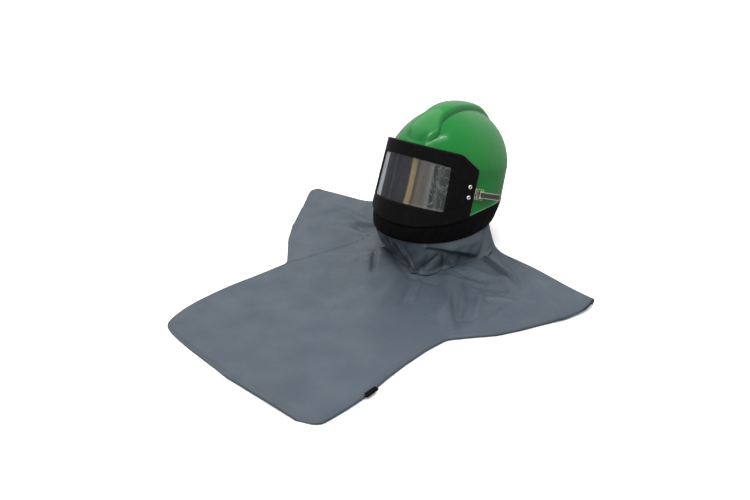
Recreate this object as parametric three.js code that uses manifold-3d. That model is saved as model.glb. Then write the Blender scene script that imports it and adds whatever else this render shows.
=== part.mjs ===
// Sandblasting hood: a moulded helmet with a crest, a visor frame that swings open on a hinge,
// a wire latch that holds it shut, a padded neck seal, a bunched cloth collar and a cape that
// lies folded at its shoulder line. Millimetres, +Z up. The hood faces -Y, the wearer's left
// hand is +X, and the origin lies on the resting surface under the helmet.

import * as THREE from 'three';
import { mergeVertices } from 'three/addons/utils/BufferGeometryUtils.js';
import Module from 'manifold-3d';

const wasm = await Module();
wasm.setup();

const DEG = Math.PI / 180;

// Space between pieces that touch, and between pieces that slide
const SEAT_GAP = 0.3;
const RUNNING_GAP = 0.4;

// The helmet stands on the bunched collar in a frame of its own, leaning back and turned
const HELMET_AT = new THREE.Vector3(6.2, -14, 68.6);
const HELMET_LEAN = 17.3 * DEG;
const HELMET_TURN = 7.5 * DEG;

// Shell sections are superellipses: half width, front and rear reach at the helmet's z = 0
const SHELL_HALF_WIDTH = 118.6;
const SHELL_NARROWING = 0.00058;
const SHELL_FRONT = 169.4;
const SHELL_FRONT_RAKE = 0.089;
const SHELL_REAR = 156.1;
const SHELL_REAR_RAKE = 0.115;
const SHELL_SQUARENESS = 2.16;
const SHELL_WALL = 4;
const CROWN_START = 123;
const CROWN_TOP = 237;
const CROWN_ROUND_ACROSS = 1.6;
const CROWN_ROUND_ALONG = 2.53;
const CROWN_SHIFT = 9.5;
const ROUND_STEPS = 40;
const CROWN_STEPS = 7;
const SIDE_STEPS = 3;

// The lower edge rises from the chin to the sides and then eases level to the nape
const EDGE_RISE = 55.2;
const EDGE_TURN = 66 * DEG;
const EDGE_EASE = 50 * DEG;

// Crest: a raised band along the crown, widest at the brow
const CREST_HALF_WIDTH = 23;
const CREST_HEIGHT = 12;
const CREST_SLOPE = 3;
const CREST_WALL = 4;
const CREST_LENGTH = 0.89 * (SHELL_FRONT + SHELL_REAR);
const CREST_FRONT = 0.826 * SHELL_FRONT;
// along is a share of the length, width and height are shares of the crest's own
const CREST_SECTIONS = [
  { along: 0.0, width: 0.87, height: 0.5 },
  { along: 0.03, width: 1.5, height: 0.6 },
  { along: 0.06, width: 1.52, height: 0.68 },
  { along: 0.095, width: 1.26, height: 0.78 },
  { along: 0.13, width: 1.02, height: 0.88 },
  { along: 0.3, width: 1.0, height: 0.94 },
  { along: 0.45, width: 1.0, height: 0.9 },
  { along: 0.6, width: 1.0, height: 0.92 },
  { along: 0.73, width: 1.0, height: 1.0 },
  { along: 0.86, width: 0.98, height: 0.62 },
  { along: 1.0, width: 0.8, height: 0.2 },
];

// Visor frame: the outer surface of its front half, and its outline by angle round the helmet
const FRAME_STANDOFF = 5;
const FRAME_HALF_WIDTH = SHELL_HALF_WIDTH + FRAME_STANDOFF;
const FRAME_FRONT = SHELL_FRONT + FRAME_STANDOFF;
const FRAME_NARROWING = 0.00051;
const FRAME_TOP = 162.4;
const FRAME_TOP_SAG = 18.8;
const FRAME_CHAMFER_START = 49.3 * DEG;
const FRAME_CHAMFER_END = 68.8 * DEG;
const FRAME_CHAMFER_END_HEIGHT = 127;
const FRAME_REAR_FOOT = 65.6 * DEG;
const FRAME_DEPTH = 30;

// Window: the aperture in the frame, and the pane in its pocket behind it
const WINDOW_TOP = 135.4;
const WINDOW_TOP_SAG = 29;
const WINDOW_FOOT = 43.3;
const WINDOW_FOOT_SAG = 13.1;
const WINDOW_HALF_ANGLE = 40.25 * DEG;
const WINDOW_CORNER = 6;
const WINDOW_LAP = 5;
const PANE_RECESS = 2.3;
const PANE_THICKNESS = 1.8;

// Face opening of the shell, behind the frame
const FACE_HALF_ANGLE = 57 * DEG;
const FACE_FRAME_LAP = 15;

// Rivets of the keeper and of the hinge leaf
const RIVET_ANGLE = 60.7 * DEG;
const FASTENING_HEIGHT = 78;
const RIVET_HEIGHTS = { upper: FASTENING_HEIGHT + 16.1, lower: FASTENING_HEIGHT - 5.1 };
const RIVET_HEAD = 4.3;
const RIVET_CROWN = 2.2;
const RIVET_SHANK = 1.9;
const RIVET_DIMPLE = 1.5;

// Keeper: a steel strip between the shell and the frame, with a lip behind the frame's edge
const KEEPER_LIFT = 0.8;
const KEEPER_THICKNESS = 1.4;
const KEEPER_FORWARD = 24;
const KEEPER_LIP = 4;
const KEEPER_HALF_HEIGHT = 14.5;

// Latch, in a frame of its own at the lever's pivot: x' out of the shell, y' to the rear
const LATCH_HEIGHT = FASTENING_HEIGHT;
const LATCH_YAW = 5 * DEG;
const LATCH_BEHIND_FRAME = 16;
const LATCH_PIN_HEIGHT = 6.4;
const LATCH_PIN_RADIUS = 1.3;
const LEVER_LENGTH = 70;
const LEVER_WIDTH = 12.4;
const LEVER_SHEET = 1;
const LEVER_TOP = 3;
const LEVER_FOOT = 3;
const EAR_SHEET = 1.3;
const EAR_RADIUS = 3.2;
const BASE_LENGTH = 15;
const BASE_THICKNESS = 2.2;
const WIRE_RADIUS = 1;
const WIRE_GAP = 1.3;
const WIRE_LIFT = 3.6;
const BAIL_ARM = 12;
const BAIL_DROP = 1.5;
const BAIL_HALF_WIDTH = 10.4;
const BAIL_BEND = 2.2;

// Hinge on the far side, in a frame of its own on its axis
const HINGE_BEHIND_FRAME = 4.5;
const HINGE_LIFT = 4;
const HINGE_HEIGHT = FASTENING_HEIGHT + 5.5;
const HINGE_BARREL = 3;
const HINGE_PIN_RADIUS = 1.5;
const HINGE_LEAF_SHEET = 1.2;
const HINGE_FRAME_KNUCKLE = 15;
const HINGE_SHELL_KNUCKLE = 24;
const HINGE_SHELL_LEAF = 22;
const HINGE_FRAME_LEAF = 28;

// Neck seal: a padded ring under the shell's edge. down runs from its top to its foot,
// out is measured from the shell's surface
const SEAL_FOOT = -2.8;
const SEAL_FOOT_SLOPE = 0.18;
const SEAL_THICKNESS = 24;
const SEAL_SECTION = [
  { down: 0, out: -0.02 },
  { down: 0.035, out: 0.08 },
  { down: 0.33, out: 0 },
  { down: 0.75, out: -0.22 },
  { down: 0.93, out: -0.34 },
  { down: 1, out: -0.5 },
  { down: 1, out: -1 },
  { down: 0.5, out: -0.84 },
  { down: 0, out: -0.62 },
];

// Collar: the cloth between the seal and the cape. reach is a share of the foot's radius
const CLOTH = 2.5;
const COLLAR_CENTRE = new THREE.Vector3(20, -45, 0);
const COLLAR_RADIUS = 110;
const COLLAR_TOP_INSET = 17;
const COLLAR_RIPPLE = 4;
const COLLAR_RIPPLES = 9;
const COLLAR_ROWS = [0, 0.22, 0.48, 0.74, 1];
const COLLAR_FOOT = [
  { at: -180, reach: 1.0 },
  { at: -120, reach: 0.95 },
  { at: -60, reach: 0.88 },
  { at: -32, reach: 0.86 },
  { at: -6, reach: 0.88 },
  { at: 14, reach: 1.0 },
  { at: 24, reach: 1.18 },
  { at: 34, reach: 1.17 },
  { at: 47, reach: 1.04 },
  { at: 63, reach: 0.9 },
  { at: 81, reach: 0.88 },
  { at: 97, reach: 1.05 },
  { at: 120, reach: 1.13 },
  { at: 150, reach: 0.95 },
  { at: 180, reach: 1.0 },
];

// Cape: half of its shoulder width, its length from the shoulder fold to the hem
const CAPE_HALF_WIDTH = 388;
const CAPE_LENGTH = 630;
const CAPE_BACK = 3;
const CAPE_COLUMNS = 22;
const CAPE_CURL_STEPS = 3;
const FOLD_RADIUS = 13;
// from is a share of the length, counted from the shoulder fold; left and right are shares
// of the half width
const CAPE_SIDES = [
  { from: 1.0, left: 0.2, right: 0.5 },
  { from: 0.993, left: -0.06, right: 0.565 },
  { from: 0.981, left: -0.24, right: 0.605 },
  { from: 0.967, left: -0.4, right: 0.628 },
  { from: 0.945, left: -0.45, right: 0.634 },
  { from: 0.908, left: -0.474, right: 0.64 },
  { from: 0.86, left: -0.494, right: 0.645 },
  { from: 0.8, left: -0.503, right: 0.646 },
  { from: 0.72, left: -0.497, right: 0.632 },
  { from: 0.635, left: -0.482, right: 0.625 },
  { from: 0.54, left: -0.46, right: 0.628 },
  { from: 0.46, left: -0.443, right: 0.644 },
  { from: 0.4, left: -0.54, right: 0.72 },
  { from: 0.344, left: -0.633, right: 0.797 },
  { from: 0.272, left: -0.722, right: 0.86 },
  { from: 0.2, left: -0.8, right: 0.912 },
  { from: 0.13, left: -0.87, right: 0.955 },
  { from: 0.06, left: -0.945, right: 0.99 },
  { from: 0, left: -1, right: 1 },
];
// The shoulder fold: back is a share of the length that it lies behind the row above, and
// radius is a share of the fold's radius
const CAPE_FOLD = [
  { across: 0, back: 0, radius: 0.28 },
  { across: 0.1, back: 0.02, radius: 0.34 },
  { across: 0.19, back: 0.03, radius: 0.45 },
  { across: 0.24, back: 0.075, radius: 0.6 },
  { across: 0.3, back: 0.125, radius: 0.8 },
  { across: 0.38, back: 0.16, radius: 0.9 },
  { across: 0.5, back: 0.17, radius: 0.95 },
  { across: 0.57, back: 0.15, radius: 0.95 },
  { across: 0.62, back: 0.08, radius: 0.7 },
  { across: 0.67, back: 0.025, radius: 0.5 },
  { across: 0.8, back: 0.02, radius: 0.42 },
  { across: 0.93, back: -0.008, radius: 0.35 },
  { across: 1, back: -0.02, radius: 0.3 },
];
const FOLD_REACH = 60;
const NECK_RISE = 12;
const NECK_RISE_REACH = 40;
const CREASE_HEIGHT = 16;
// Creases: x and from place the middle, turn is counted from +X, long and wide are half sizes
// as shares of the half width, and high is a share of the crease height
const CAPE_CREASES = [
  { x: -0.1, from: 0.27, turn: 60, long: 0.1, wide: 0.07, high: 0.9 },
  { x: -0.44, from: 0.09, turn: -10, long: 0.24, wide: 0.035, high: 0.55 },
  { x: -0.36, from: 0.16, turn: 12, long: 0.2, wide: 0.04, high: 0.4 },
  { x: 0.47, from: 0.05, turn: -24, long: 0.18, wide: 0.05, high: 0.75 },
  { x: 0.41, from: 0.28, turn: -58, long: 0.2, wide: 0.035, high: 0.6 },
  { x: 0.52, from: 0.24, turn: -40, long: 0.16, wide: 0.05, high: 0.45 },
  { x: 0.18, from: 0.4, turn: -80, long: 0.16, wide: 0.05, high: 0.3 },
];

// Tag on the hem, at its right edge
const TAG_LENGTH = 27;
const TAG_WIDTH = 12;
const TAG_SHEET = 1.5;
const TAG_OVERHANG = 4;
const TAG_FROM = 0.793;

const GREEN = { color: 0x1f7a36, roughness: 0.22, metalness: 0 };
const BLACK_MOULDED = { color: 0x141416, roughness: 0.5, metalness: 0 };
const BLACK_PADDED = { color: 0x121214, roughness: 0.8, metalness: 0 };
const CLEAR = { color: 0xaab2b8, roughness: 0.08, metalness: 0, transparent: true, opacity: 0.5 };
const STEEL = { color: 0xb4b4ae, roughness: 0.35, metalness: 0.9 };
const GREY_CLOTH = { color: 0x72808d, roughness: 0.85, metalness: 0 };

// Geometry helpers

function clamp(value, low, high) {
  return Math.min(Math.max(value, low), high);
}

// Value of a table's column at a place between its rows
function lookUp(table, key, column, place) {
  const rows = [...table].sort((a, b) => a[key] - b[key]);
  const end = rows.findIndex((row) => row[key] >= place);
  if (end === 0) return rows[0][column];
  if (end < 0) return rows.at(-1)[column];
  const [a, b] = [rows[end - 1], rows[end]];
  return a[column] + (b[column] - a[column]) * (place - a[key]) / (b[key] - a[key]);
}

function geometryOf(points, faces) {
  let volume = 0;
  for (let i = 0; i < faces.length; i += 3) {
    const [a, b, c] = [points[faces[i]], points[faces[i + 1]], points[faces[i + 2]]];
    volume += a.dot(b.clone().cross(c));
  }
  const index = volume > 0 ? faces : [...faces].reverse();
  const geometry = new THREE.BufferGeometry();
  geometry.setAttribute('position', new THREE.Float32BufferAttribute(
    points.flatMap((p) => [p.x, p.y, p.z]), 3));
  geometry.setIndex(index);
  return geometry;
}

// Closed mesh from rings with as many points each. The ends are closed by fans, or the last
// ring meets the first.
function ringStack(rings, joined = false) {
  const points = rings.flat();
  const count = rings[0].length;
  const faces = [];
  const spans = joined ? rings.length : rings.length - 1;
  for (let i = 0; i < spans; i++) {
    const low = i * count;
    const high = ((i + 1) % rings.length) * count;
    for (let j = 0; j < count; j++) {
      const k = (j + 1) % count;
      faces.push(low + j, low + k, high + k, low + j, high + k, high + j);
    }
  }
  if (!joined) {
    const last = (rings.length - 1) * count;
    const middles = [rings[0], rings.at(-1)].map((ring) => {
      const sum = ring.reduce((total, p) => total.add(p), new THREE.Vector3());
      return points.push(sum.divideScalar(count)) - 1;
    });
    for (let j = 0; j < count; j++) {
      const k = (j + 1) % count;
      faces.push(middles[0], k, j, middles[1], last + j, last + k);
    }
  }
  return geometryOf(points, faces);
}

// Closed sheet between two grids of points with the same rows and columns
function sheetBetween(upper, lower) {
  const rows = upper.length;
  const columns = upper[0].length;
  const points = [...upper.flat(), ...lower.flat()];
  const under = rows * columns;
  const faces = [];
  const quad = (a, b, c, d) => faces.push(a, b, c, a, c, d);
  for (let i = 0; i < rows - 1; i++) {
    for (let j = 0; j < columns - 1; j++) {
      const a = i * columns + j;
      quad(a, a + 1, a + columns + 1, a + columns);
      quad(under + a + columns, under + a + columns + 1, under + a + 1, under + a);
    }
  }
  for (let j = 0; j < columns - 1; j++) {
    const last = (rows - 1) * columns + j;
    quad(j + 1, j, under + j, under + j + 1);
    quad(last, last + 1, under + last + 1, under + last);
  }
  for (let i = 0; i < rows - 1; i++) {
    const left = i * columns;
    const right = left + columns - 1;
    quad(left, left + columns, under + left + columns, under + left);
    quad(right + columns, right, under + right, under + right + columns);
  }
  return geometryOf(points, faces);
}

function solidOf(geometry, matrix) {
  const bare = geometry.clone();
  if (matrix) bare.applyMatrix4(matrix);
  bare.deleteAttribute('normal');
  bare.deleteAttribute('uv');
  const merged = mergeVertices(bare, 1e-4);
  return new wasm.Manifold(new wasm.Mesh({
    numProp: 3,
    vertProperties: new Float32Array(merged.attributes.position.array),
    triVerts: new Uint32Array(merged.index.array),
  }));
}

function meshGeometry(solid, matrix) {
  const mesh = solid.getMesh();
  const geometry = new THREE.BufferGeometry();
  geometry.setAttribute('position', new THREE.Float32BufferAttribute(
    new Float32Array(mesh.vertProperties), 3));
  geometry.setIndex([...mesh.triVerts]);
  if (matrix) geometry.applyMatrix4(matrix);
  return geometry;
}

function box(low, high) {
  const size = new THREE.Vector3().subVectors(high, low);
  const middle = new THREE.Vector3().addVectors(low, high).multiplyScalar(0.5);
  return new THREE.BoxGeometry(size.x, size.y, size.z).translate(middle.x, middle.y, middle.z);
}

// Cylinder along z'
function post(radius, from, to, x, y, sides = 16) {
  const geometry = new THREE.CylinderGeometry(radius, radius, to - from, sides);
  return geometry.rotateX(Math.PI / 2).translate(x, y, (from + to) / 2);
}

function vec(x, y, z) {
  return new THREE.Vector3(x, y, z);
}

// Shell surface

function superPoint(section, angle, z) {
  const x = Math.sin(angle);
  const y = Math.cos(angle);
  const power = 2 / section.n;
  return vec(
    section.a * Math.sign(x) * Math.abs(x) ** power,
    section.y - section.b * Math.sign(y) * Math.abs(y) ** power,
    z,
  );
}

function shellSection(z, out) {
  const t = clamp((z - CROWN_START) / (CROWN_TOP + out - CROWN_START), 0, 1);
  const front = -SHELL_FRONT + SHELL_FRONT_RAKE * z;
  const rear = SHELL_REAR + SHELL_REAR_RAKE * z;
  const width = SHELL_HALF_WIDTH * (1 - SHELL_NARROWING * z) + out;
  return {
    a: width * Math.sqrt(1 - t ** CROWN_ROUND_ACROSS),
    b: ((rear - front) / 2 + out) * Math.sqrt(1 - t ** CROWN_ROUND_ALONG),
    y: (rear + front) / 2 - CROWN_SHIFT * t * t,
    n: SHELL_SQUARENESS + (2 - SHELL_SQUARENESS) * t,
  };
}

function onShell(angle, z, out = 0) {
  return superPoint(shellSection(z, out), angle, z);
}

// Half width of the shell at a place along it
function shellSide(y, z, out = 0) {
  const { a, b, y: middle, n } = shellSection(z, out);
  return a * (1 - Math.abs((y - middle) / b) ** n) ** (1 / n);
}

// Height of the crown over a place
function crownHeight(x, y, out = 0) {
  let low = 0;
  let high = CROWN_TOP + out;
  for (let i = 0; i < 40; i++) {
    const z = (low + high) / 2;
    const { a, b, y: middle, n } = shellSection(z, out);
    const outside = Math.abs(x / a) ** n + Math.abs((y - middle) / b) ** n > 1;
    if (outside) high = z;
    else low = z;
  }
  return (low + high) / 2;
}

// Lower edge of the shell and of the frame, by angle from the front
function lowerEdge(angle) {
  const turn = Math.abs(Math.atan2(Math.sin(angle), Math.cos(angle)));
  if (turn <= EDGE_TURN) return EDGE_RISE * (1 - Math.cos(turn));
  const t = Math.min((turn - EDGE_TURN) / EDGE_EASE, 1);
  const gain = EDGE_RISE * Math.sin(EDGE_TURN) * EDGE_EASE / 2;
  return EDGE_RISE * (1 - Math.cos(EDGE_TURN)) + gain * (2 * t - t * t);
}

function roundAngles(steps = ROUND_STEPS) {
  return Array.from({ length: steps }, (_, i) => i * 2 * Math.PI / steps);
}

// Rings of the shell's surface from near its apex down to an edge
function shellRings(out, edge) {
  const angles = roundAngles();
  const rings = [];
  for (let i = CROWN_STEPS - 1; i >= 0; i--) {
    const rise = (CROWN_TOP + out - CROWN_START) * Math.sin(i / CROWN_STEPS * Math.PI / 2);
    rings.push(angles.map((angle) => onShell(angle, CROWN_START + rise, out)));
  }
  for (let i = 1; i <= SIDE_STEPS; i++) {
    rings.push(angles.map((angle) => {
      const foot = edge(angle);
      return onShell(angle, CROWN_START + (foot - CROWN_START) * i / SIDE_STEPS, out);
    }));
  }
  return rings;
}

function shellBody(out) {
  return solidOf(ringStack(shellRings(out, () => SEAL_FOOT * 10)));
}

// Visor frame surface

function onFrame(angle, z, out = 0) {
  const taper = 1 - FRAME_NARROWING * z;
  return superPoint({
    a: FRAME_HALF_WIDTH * taper + out,
    b: FRAME_FRONT * taper + out,
    y: 0,
    n: SHELL_SQUARENESS,
  }, angle, z);
}

function spread(from, to, steps) {
  return Array.from({ length: steps + 1 }, (_, i) => from + (to - from) * i / steps);
}

// Curved block between two offsets from a surface
function curvedBlock(surface, angles, low, high, outer, inner) {
  return ringStack(angles.map((angle) => [
    surface(angle, low(angle), outer),
    surface(angle, high(angle), outer),
    surface(angle, high(angle), inner),
    surface(angle, low(angle), inner),
  ]));
}

function frameBody(out) {
  const angles = spread(-80 * DEG, 80 * DEG, 30);
  return solidOf(curvedBlock(onFrame, angles, () => -30, () => FRAME_TOP + 10, out, -60));
}

function frameTop(angle) {
  const turn = Math.abs(angle);
  const arch = (a) => FRAME_TOP - FRAME_TOP_SAG * (1 - Math.cos(a));
  if (turn <= FRAME_CHAMFER_START) return arch(turn);
  const t = (turn - FRAME_CHAMFER_START) / (FRAME_CHAMFER_END - FRAME_CHAMFER_START);
  const start = arch(FRAME_CHAMFER_START);
  return start + (FRAME_CHAMFER_END_HEIGHT - start) * t;
}

function frameFoot(angle) {
  const turn = Math.abs(angle);
  if (turn <= FRAME_REAR_FOOT) return lowerEdge(turn);
  const t = (turn - FRAME_REAR_FOOT) / (FRAME_CHAMFER_END - FRAME_REAR_FOOT);
  const start = lowerEdge(FRAME_REAR_FOOT);
  return start + (FRAME_CHAMFER_END_HEIGHT - start) * t;
}

// Angle of the frame's rear edge at a height
function frameRearAngle(z) {
  const foot = lowerEdge(FRAME_REAR_FOOT);
  const t = (z - foot) / (FRAME_CHAMFER_END_HEIGHT - foot);
  return FRAME_REAR_FOOT + (FRAME_CHAMFER_END - FRAME_REAR_FOOT) * t;
}

function frameRearPoint(z) {
  return onFrame(frameRearAngle(z), z);
}

function windowTop(angle) {
  return WINDOW_TOP - WINDOW_TOP_SAG * (1 - Math.cos(angle));
}

function windowFoot(angle) {
  return WINDOW_FOOT - WINDOW_FOOT_SAG * (1 - Math.cos(angle));
}

// How far a round corner pulls the aperture's edge in, near its ends
function cornerPull(angle) {
  const reach = WINDOW_CORNER / FRAME_HALF_WIDTH;
  const near = clamp(1 - (WINDOW_HALF_ANGLE - Math.abs(angle)) / reach, 0, 1);
  return WINDOW_CORNER * (1 - Math.sqrt(1 - near * near));
}

// Frames of the latch and the hinge, in the helmet's own frame

// Frame on the shell beside the frame's rear edge: z' runs up along that edge, y' to the rear
function sideMatrix(side, height, behind, lift, yaw) {
  const at = (ahead, up) => {
    const z = height + up;
    const y = frameRearPoint(z).y + behind + ahead;
    return vec(side * shellSide(y, z, lift), y, z);
  };
  const zAxis = at(0, 20).sub(at(0, -20)).normalize();
  const rearward = at(20, 0).sub(at(-20, 0)).normalize().applyAxisAngle(zAxis, yaw);
  const xAxis = rearward.cross(zAxis).normalize();
  const yAxis = zAxis.clone().cross(xAxis);
  return new THREE.Matrix4().makeBasis(xAxis, yAxis, zAxis).setPosition(at(0, 0));
}

const latchFrame = sideMatrix(1, LATCH_HEIGHT, LATCH_BEHIND_FRAME, 0, LATCH_YAW);
const hingeFrame = sideMatrix(-1, HINGE_HEIGHT, HINGE_BEHIND_FRAME, HINGE_LIFT, 0);

// Crest

function crestRing(y, widthLess, heightLess, floor) {
  const along = (y + CREST_FRONT) / CREST_LENGTH;
  const width = CREST_HALF_WIDTH * lookUp(CREST_SECTIONS, 'along', 'width', along) - widthLess;
  const height = CREST_HEIGHT * lookUp(CREST_SECTIONS, 'along', 'height', along) - heightLess;
  const top = (x) => vec(x, y, crownHeight(x, y) + height);
  const foot = (x) => vec(x, y, crownHeight(x, y) - floor);
  const wide = width + CREST_SLOPE;
  return [
    foot(-wide), vec(-wide, y, crownHeight(-wide, y) - 1), top(-width), top(-width / 2), top(0),
    top(width / 2), top(width), vec(wide, y, crownHeight(wide, y) - 1), foot(wide),
    foot(wide / 2), foot(0), foot(-wide / 2),
  ];
}

function crestBody(widthLess, heightLess, floor, endLess) {
  const places = CREST_SECTIONS.map((row) => row.along * CREST_LENGTH - CREST_FRONT);
  const inside = places.filter((y, i) => endLess === 0 || (i > 0 && i < places.length - 1));
  return solidOf(ringStack(inside.map((y) => crestRing(y, widthLess, heightLess, floor))));
}

// Helmet pieces

function shellGeometry() {
  const outer = shellRings(0, lowerEdge);
  const inner = shellRings(-SHELL_WALL, lowerEdge).reverse();
  const wall = solidOf(ringStack([...outer, ...inner]));
  const crest = crestBody(0, 0, SHELL_WALL / 2, 0);
  const channel = crestBody(CREST_WALL, CREST_WALL, SHELL_WALL * 4, 1);
  const angles = spread(-FACE_HALF_ANGLE, FACE_HALF_ANGLE, 16);
  const face = solidOf(curvedBlock(
    onFrame, angles,
    (angle) => lowerEdge(angle) + FACE_FRAME_LAP,
    (angle) => frameTop(Math.min(Math.abs(angle), FRAME_CHAMFER_START)) - FACE_FRAME_LAP,
    10, -40,
  ));
  return meshGeometry(wall.add(crest).subtract(channel).subtract(face));
}

// A steel strip that follows the shell, cut from a box given in the helmet's frame
function stripOnShell(geometry, lift, thickness, matrix) {
  const region = solidOf(geometry, matrix);
  return region.intersect(shellBody(lift + thickness)).subtract(shellBody(lift));
}

function rivetMatrix(side, z, out) {
  const angle = side * RIVET_ANGLE;
  const at = onFrame(angle, z, out);
  const ahead = onFrame(angle + 0.01, z, out).sub(onFrame(angle - 0.01, z, out));
  const normal = vec(-ahead.y, ahead.x, 0).normalize();
  if (normal.x * side < 0) normal.negate();
  const turn = new THREE.Quaternion().setFromUnitVectors(vec(0, 1, 0), normal);
  return new THREE.Matrix4().compose(at, turn, vec(1, 1, 1));
}

function rivetGeometry(depth) {
  const profile = [
    [0, -depth],
    [RIVET_SHANK, -depth],
    [RIVET_SHANK, SEAT_GAP],
    [RIVET_HEAD, SEAT_GAP],
    [RIVET_HEAD * 0.9, SEAT_GAP + RIVET_CROWN * 0.6],
    [RIVET_HEAD * 0.55, SEAT_GAP + RIVET_CROWN],
    [RIVET_DIMPLE, SEAT_GAP + RIVET_CROWN],
    [0, SEAT_GAP + RIVET_CROWN * 0.55],
  ];
  return new THREE.LatheGeometry(profile.map(([x, y]) => new THREE.Vector2(x, y)), 12);
}

// Holes for the four rivets
function rivetHoles() {
  const holes = [];
  for (const side of [-1, 1]) {
    for (const z of Object.values(RIVET_HEIGHTS)) {
      const hole = new THREE.CylinderGeometry(
        RIVET_SHANK + SEAT_GAP, RIVET_SHANK + SEAT_GAP, 40, 12);
      holes.push(solidOf(hole, rivetMatrix(side, z, 0)));
    }
  }
  return holes.reduce((all, hole) => all.add(hole));
}

function keeperBox(grow) {
  const edge = frameRearPoint(LATCH_HEIGHT);
  const half = KEEPER_HALF_HEIGHT + grow;
  return box(
    vec(60, edge.y - KEEPER_FORWARD - grow, LATCH_HEIGHT + 5 - half),
    vec(140, edge.y + KEEPER_LIP + grow, LATCH_HEIGHT + 5 + half),
  );
}

function keeperSolid() {
  return stripOnShell(keeperBox(0), KEEPER_LIFT, KEEPER_THICKNESS).subtract(rivetHoles());
}

function frameGeometry() {
  const bends = [-FRAME_CHAMFER_START, FRAME_CHAMFER_START, -FRAME_REAR_FOOT, FRAME_REAR_FOOT];
  const end = FRAME_CHAMFER_END - 0.2 * DEG;
  const angles = [...spread(-end, end, 26), ...bends].sort((a, b) => a - b);
  const plate = solidOf(curvedBlock(onFrame, angles, frameFoot, frameTop, 0, -FRAME_DEPTH));
  const half = WINDOW_HALF_ANGLE;
  const fine = [0.1, 0.35, 0.7, 1].map((share) => half - share * WINDOW_CORNER / FRAME_HALF_WIDTH);
  const apertureAngles = [-half, ...fine.map((a) => -a), ...spread(-fine[3], fine[3], 14).slice(1, -1),
    ...fine.reverse(), half];
  const aperture = solidOf(curvedBlock(
    onFrame, apertureAngles,
    (angle) => windowFoot(angle) + cornerPull(angle),
    (angle) => windowTop(angle) - cornerPull(angle),
    10, -FRAME_DEPTH - 10,
  ));
  const lap = WINDOW_LAP / FRAME_HALF_WIDTH;
  const pocket = solidOf(curvedBlock(
    onFrame, spread(-half - lap, half + lap, 16),
    (angle) => windowFoot(angle) - WINDOW_LAP, (angle) => windowTop(angle) + WINDOW_LAP,
    -PANE_RECESS, -FRAME_DEPTH - 10,
  ));
  const keeperPocket = stripOnShell(keeperBox(SEAT_GAP), 0, KEEPER_LIFT + KEEPER_THICKNESS + SEAT_GAP);
  return meshGeometry(plate.subtract(shellBody(RUNNING_GAP)).subtract(aperture).subtract(pocket)
    .subtract(keeperPocket).subtract(rivetHoles()));
}

function windowGeometry() {
  const lap = (WINDOW_LAP - SEAT_GAP) / FRAME_HALF_WIDTH;
  const half = WINDOW_HALF_ANGLE + lap;
  return curvedBlock(
    onFrame, spread(-half, half, 16),
    (angle) => windowFoot(angle) - WINDOW_LAP + SEAT_GAP,
    (angle) => windowTop(angle) + WINDOW_LAP - SEAT_GAP,
    -PANE_RECESS - SEAT_GAP, -PANE_RECESS - SEAT_GAP - PANE_THICKNESS,
  );
}

// Latch pieces, in the latch frame unless they follow the shell

const pinHeight = LATCH_PIN_HEIGHT;
const leverHalf = LEVER_WIDTH / 2;
const earInner = leverHalf + RUNNING_GAP;
const earOuter = earInner + EAR_SHEET;

// Where the latch's cross wire lies: just behind the frame's rear edge, over the keeper's lip
function crossWire() {
  const edge = frameRearPoint(LATCH_HEIGHT);
  const y = edge.y + WIRE_GAP + WIRE_RADIUS;
  const at = vec(shellSide(y, LATCH_HEIGHT, WIRE_LIFT), y, LATCH_HEIGHT);
  return at.applyMatrix4(latchFrame.clone().invert());
}

function latchBaseGeometry() {
  const half = BASE_LENGTH / 2;
  const plate = solidOf(box(vec(-8, -half, -earOuter), vec(BASE_THICKNESS, half, earOuter)), latchFrame)
    .subtract(shellBody(SEAT_GAP));
  let base = plate;
  for (const side of [-1, 1]) {
    const [z0, z1] = side < 0 ? [-earOuter, -earInner] : [earInner, earOuter];
    const web = box(vec(0, -EAR_RADIUS, z0), vec(pinHeight, EAR_RADIUS, z1));
    const eye = post(EAR_RADIUS, z0, z1, pinHeight, 0);
    base = base.add(solidOf(web, latchFrame).subtract(shellBody(SEAT_GAP)));
    base = base.add(solidOf(eye, latchFrame));
  }
  const bore = post(LATCH_PIN_RADIUS + SEAT_GAP, -2 * earOuter, 2 * earOuter, pinHeight, 0, 16);
  return meshGeometry(base.subtract(solidOf(bore, latchFrame)));
}

function latchPinGeometry() {
  const end = earOuter + 0.8;
  return post(LATCH_PIN_RADIUS, -end, end, pinHeight, 0, 16);
}

function leverGeometry() {
  const top = pinHeight + LEVER_TOP;
  const foot = pinHeight - LEVER_FOOT;
  const web = box(vec(top - LEVER_SHEET, 0, -leverHalf), vec(top, LEVER_LENGTH, leverHalf));
  let lever = solidOf(web);
  for (const side of [-1, 1]) {
    const [z0, z1] = side < 0 ? [-leverHalf, -leverHalf + LEVER_SHEET] : [leverHalf - LEVER_SHEET, leverHalf];
    const flange = box(vec(foot, 0, z0), vec(top, LEVER_LENGTH, z1));
    lever = lever.add(solidOf(flange));
    lever = lever.add(solidOf(post(LEVER_FOOT, z0, z1, pinHeight, 0)));
  }
  const tip = box(vec(foot - 1, LEVER_LENGTH - 12, -leverHalf - 1), vec(top - 1, LEVER_LENGTH + 1, leverHalf + 1));
  const bore = post(LATCH_PIN_RADIUS + SEAT_GAP, -leverHalf - 1, leverHalf + 1, pinHeight, 0, 16);
  const eyes = post(WIRE_RADIUS + SEAT_GAP, -leverHalf - 1, leverHalf + 1, pinHeight - BAIL_DROP, BAIL_ARM, 14);
  return meshGeometry(lever.subtract(solidOf(tip)).subtract(solidOf(bore)).subtract(solidOf(eyes)));
}

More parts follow.
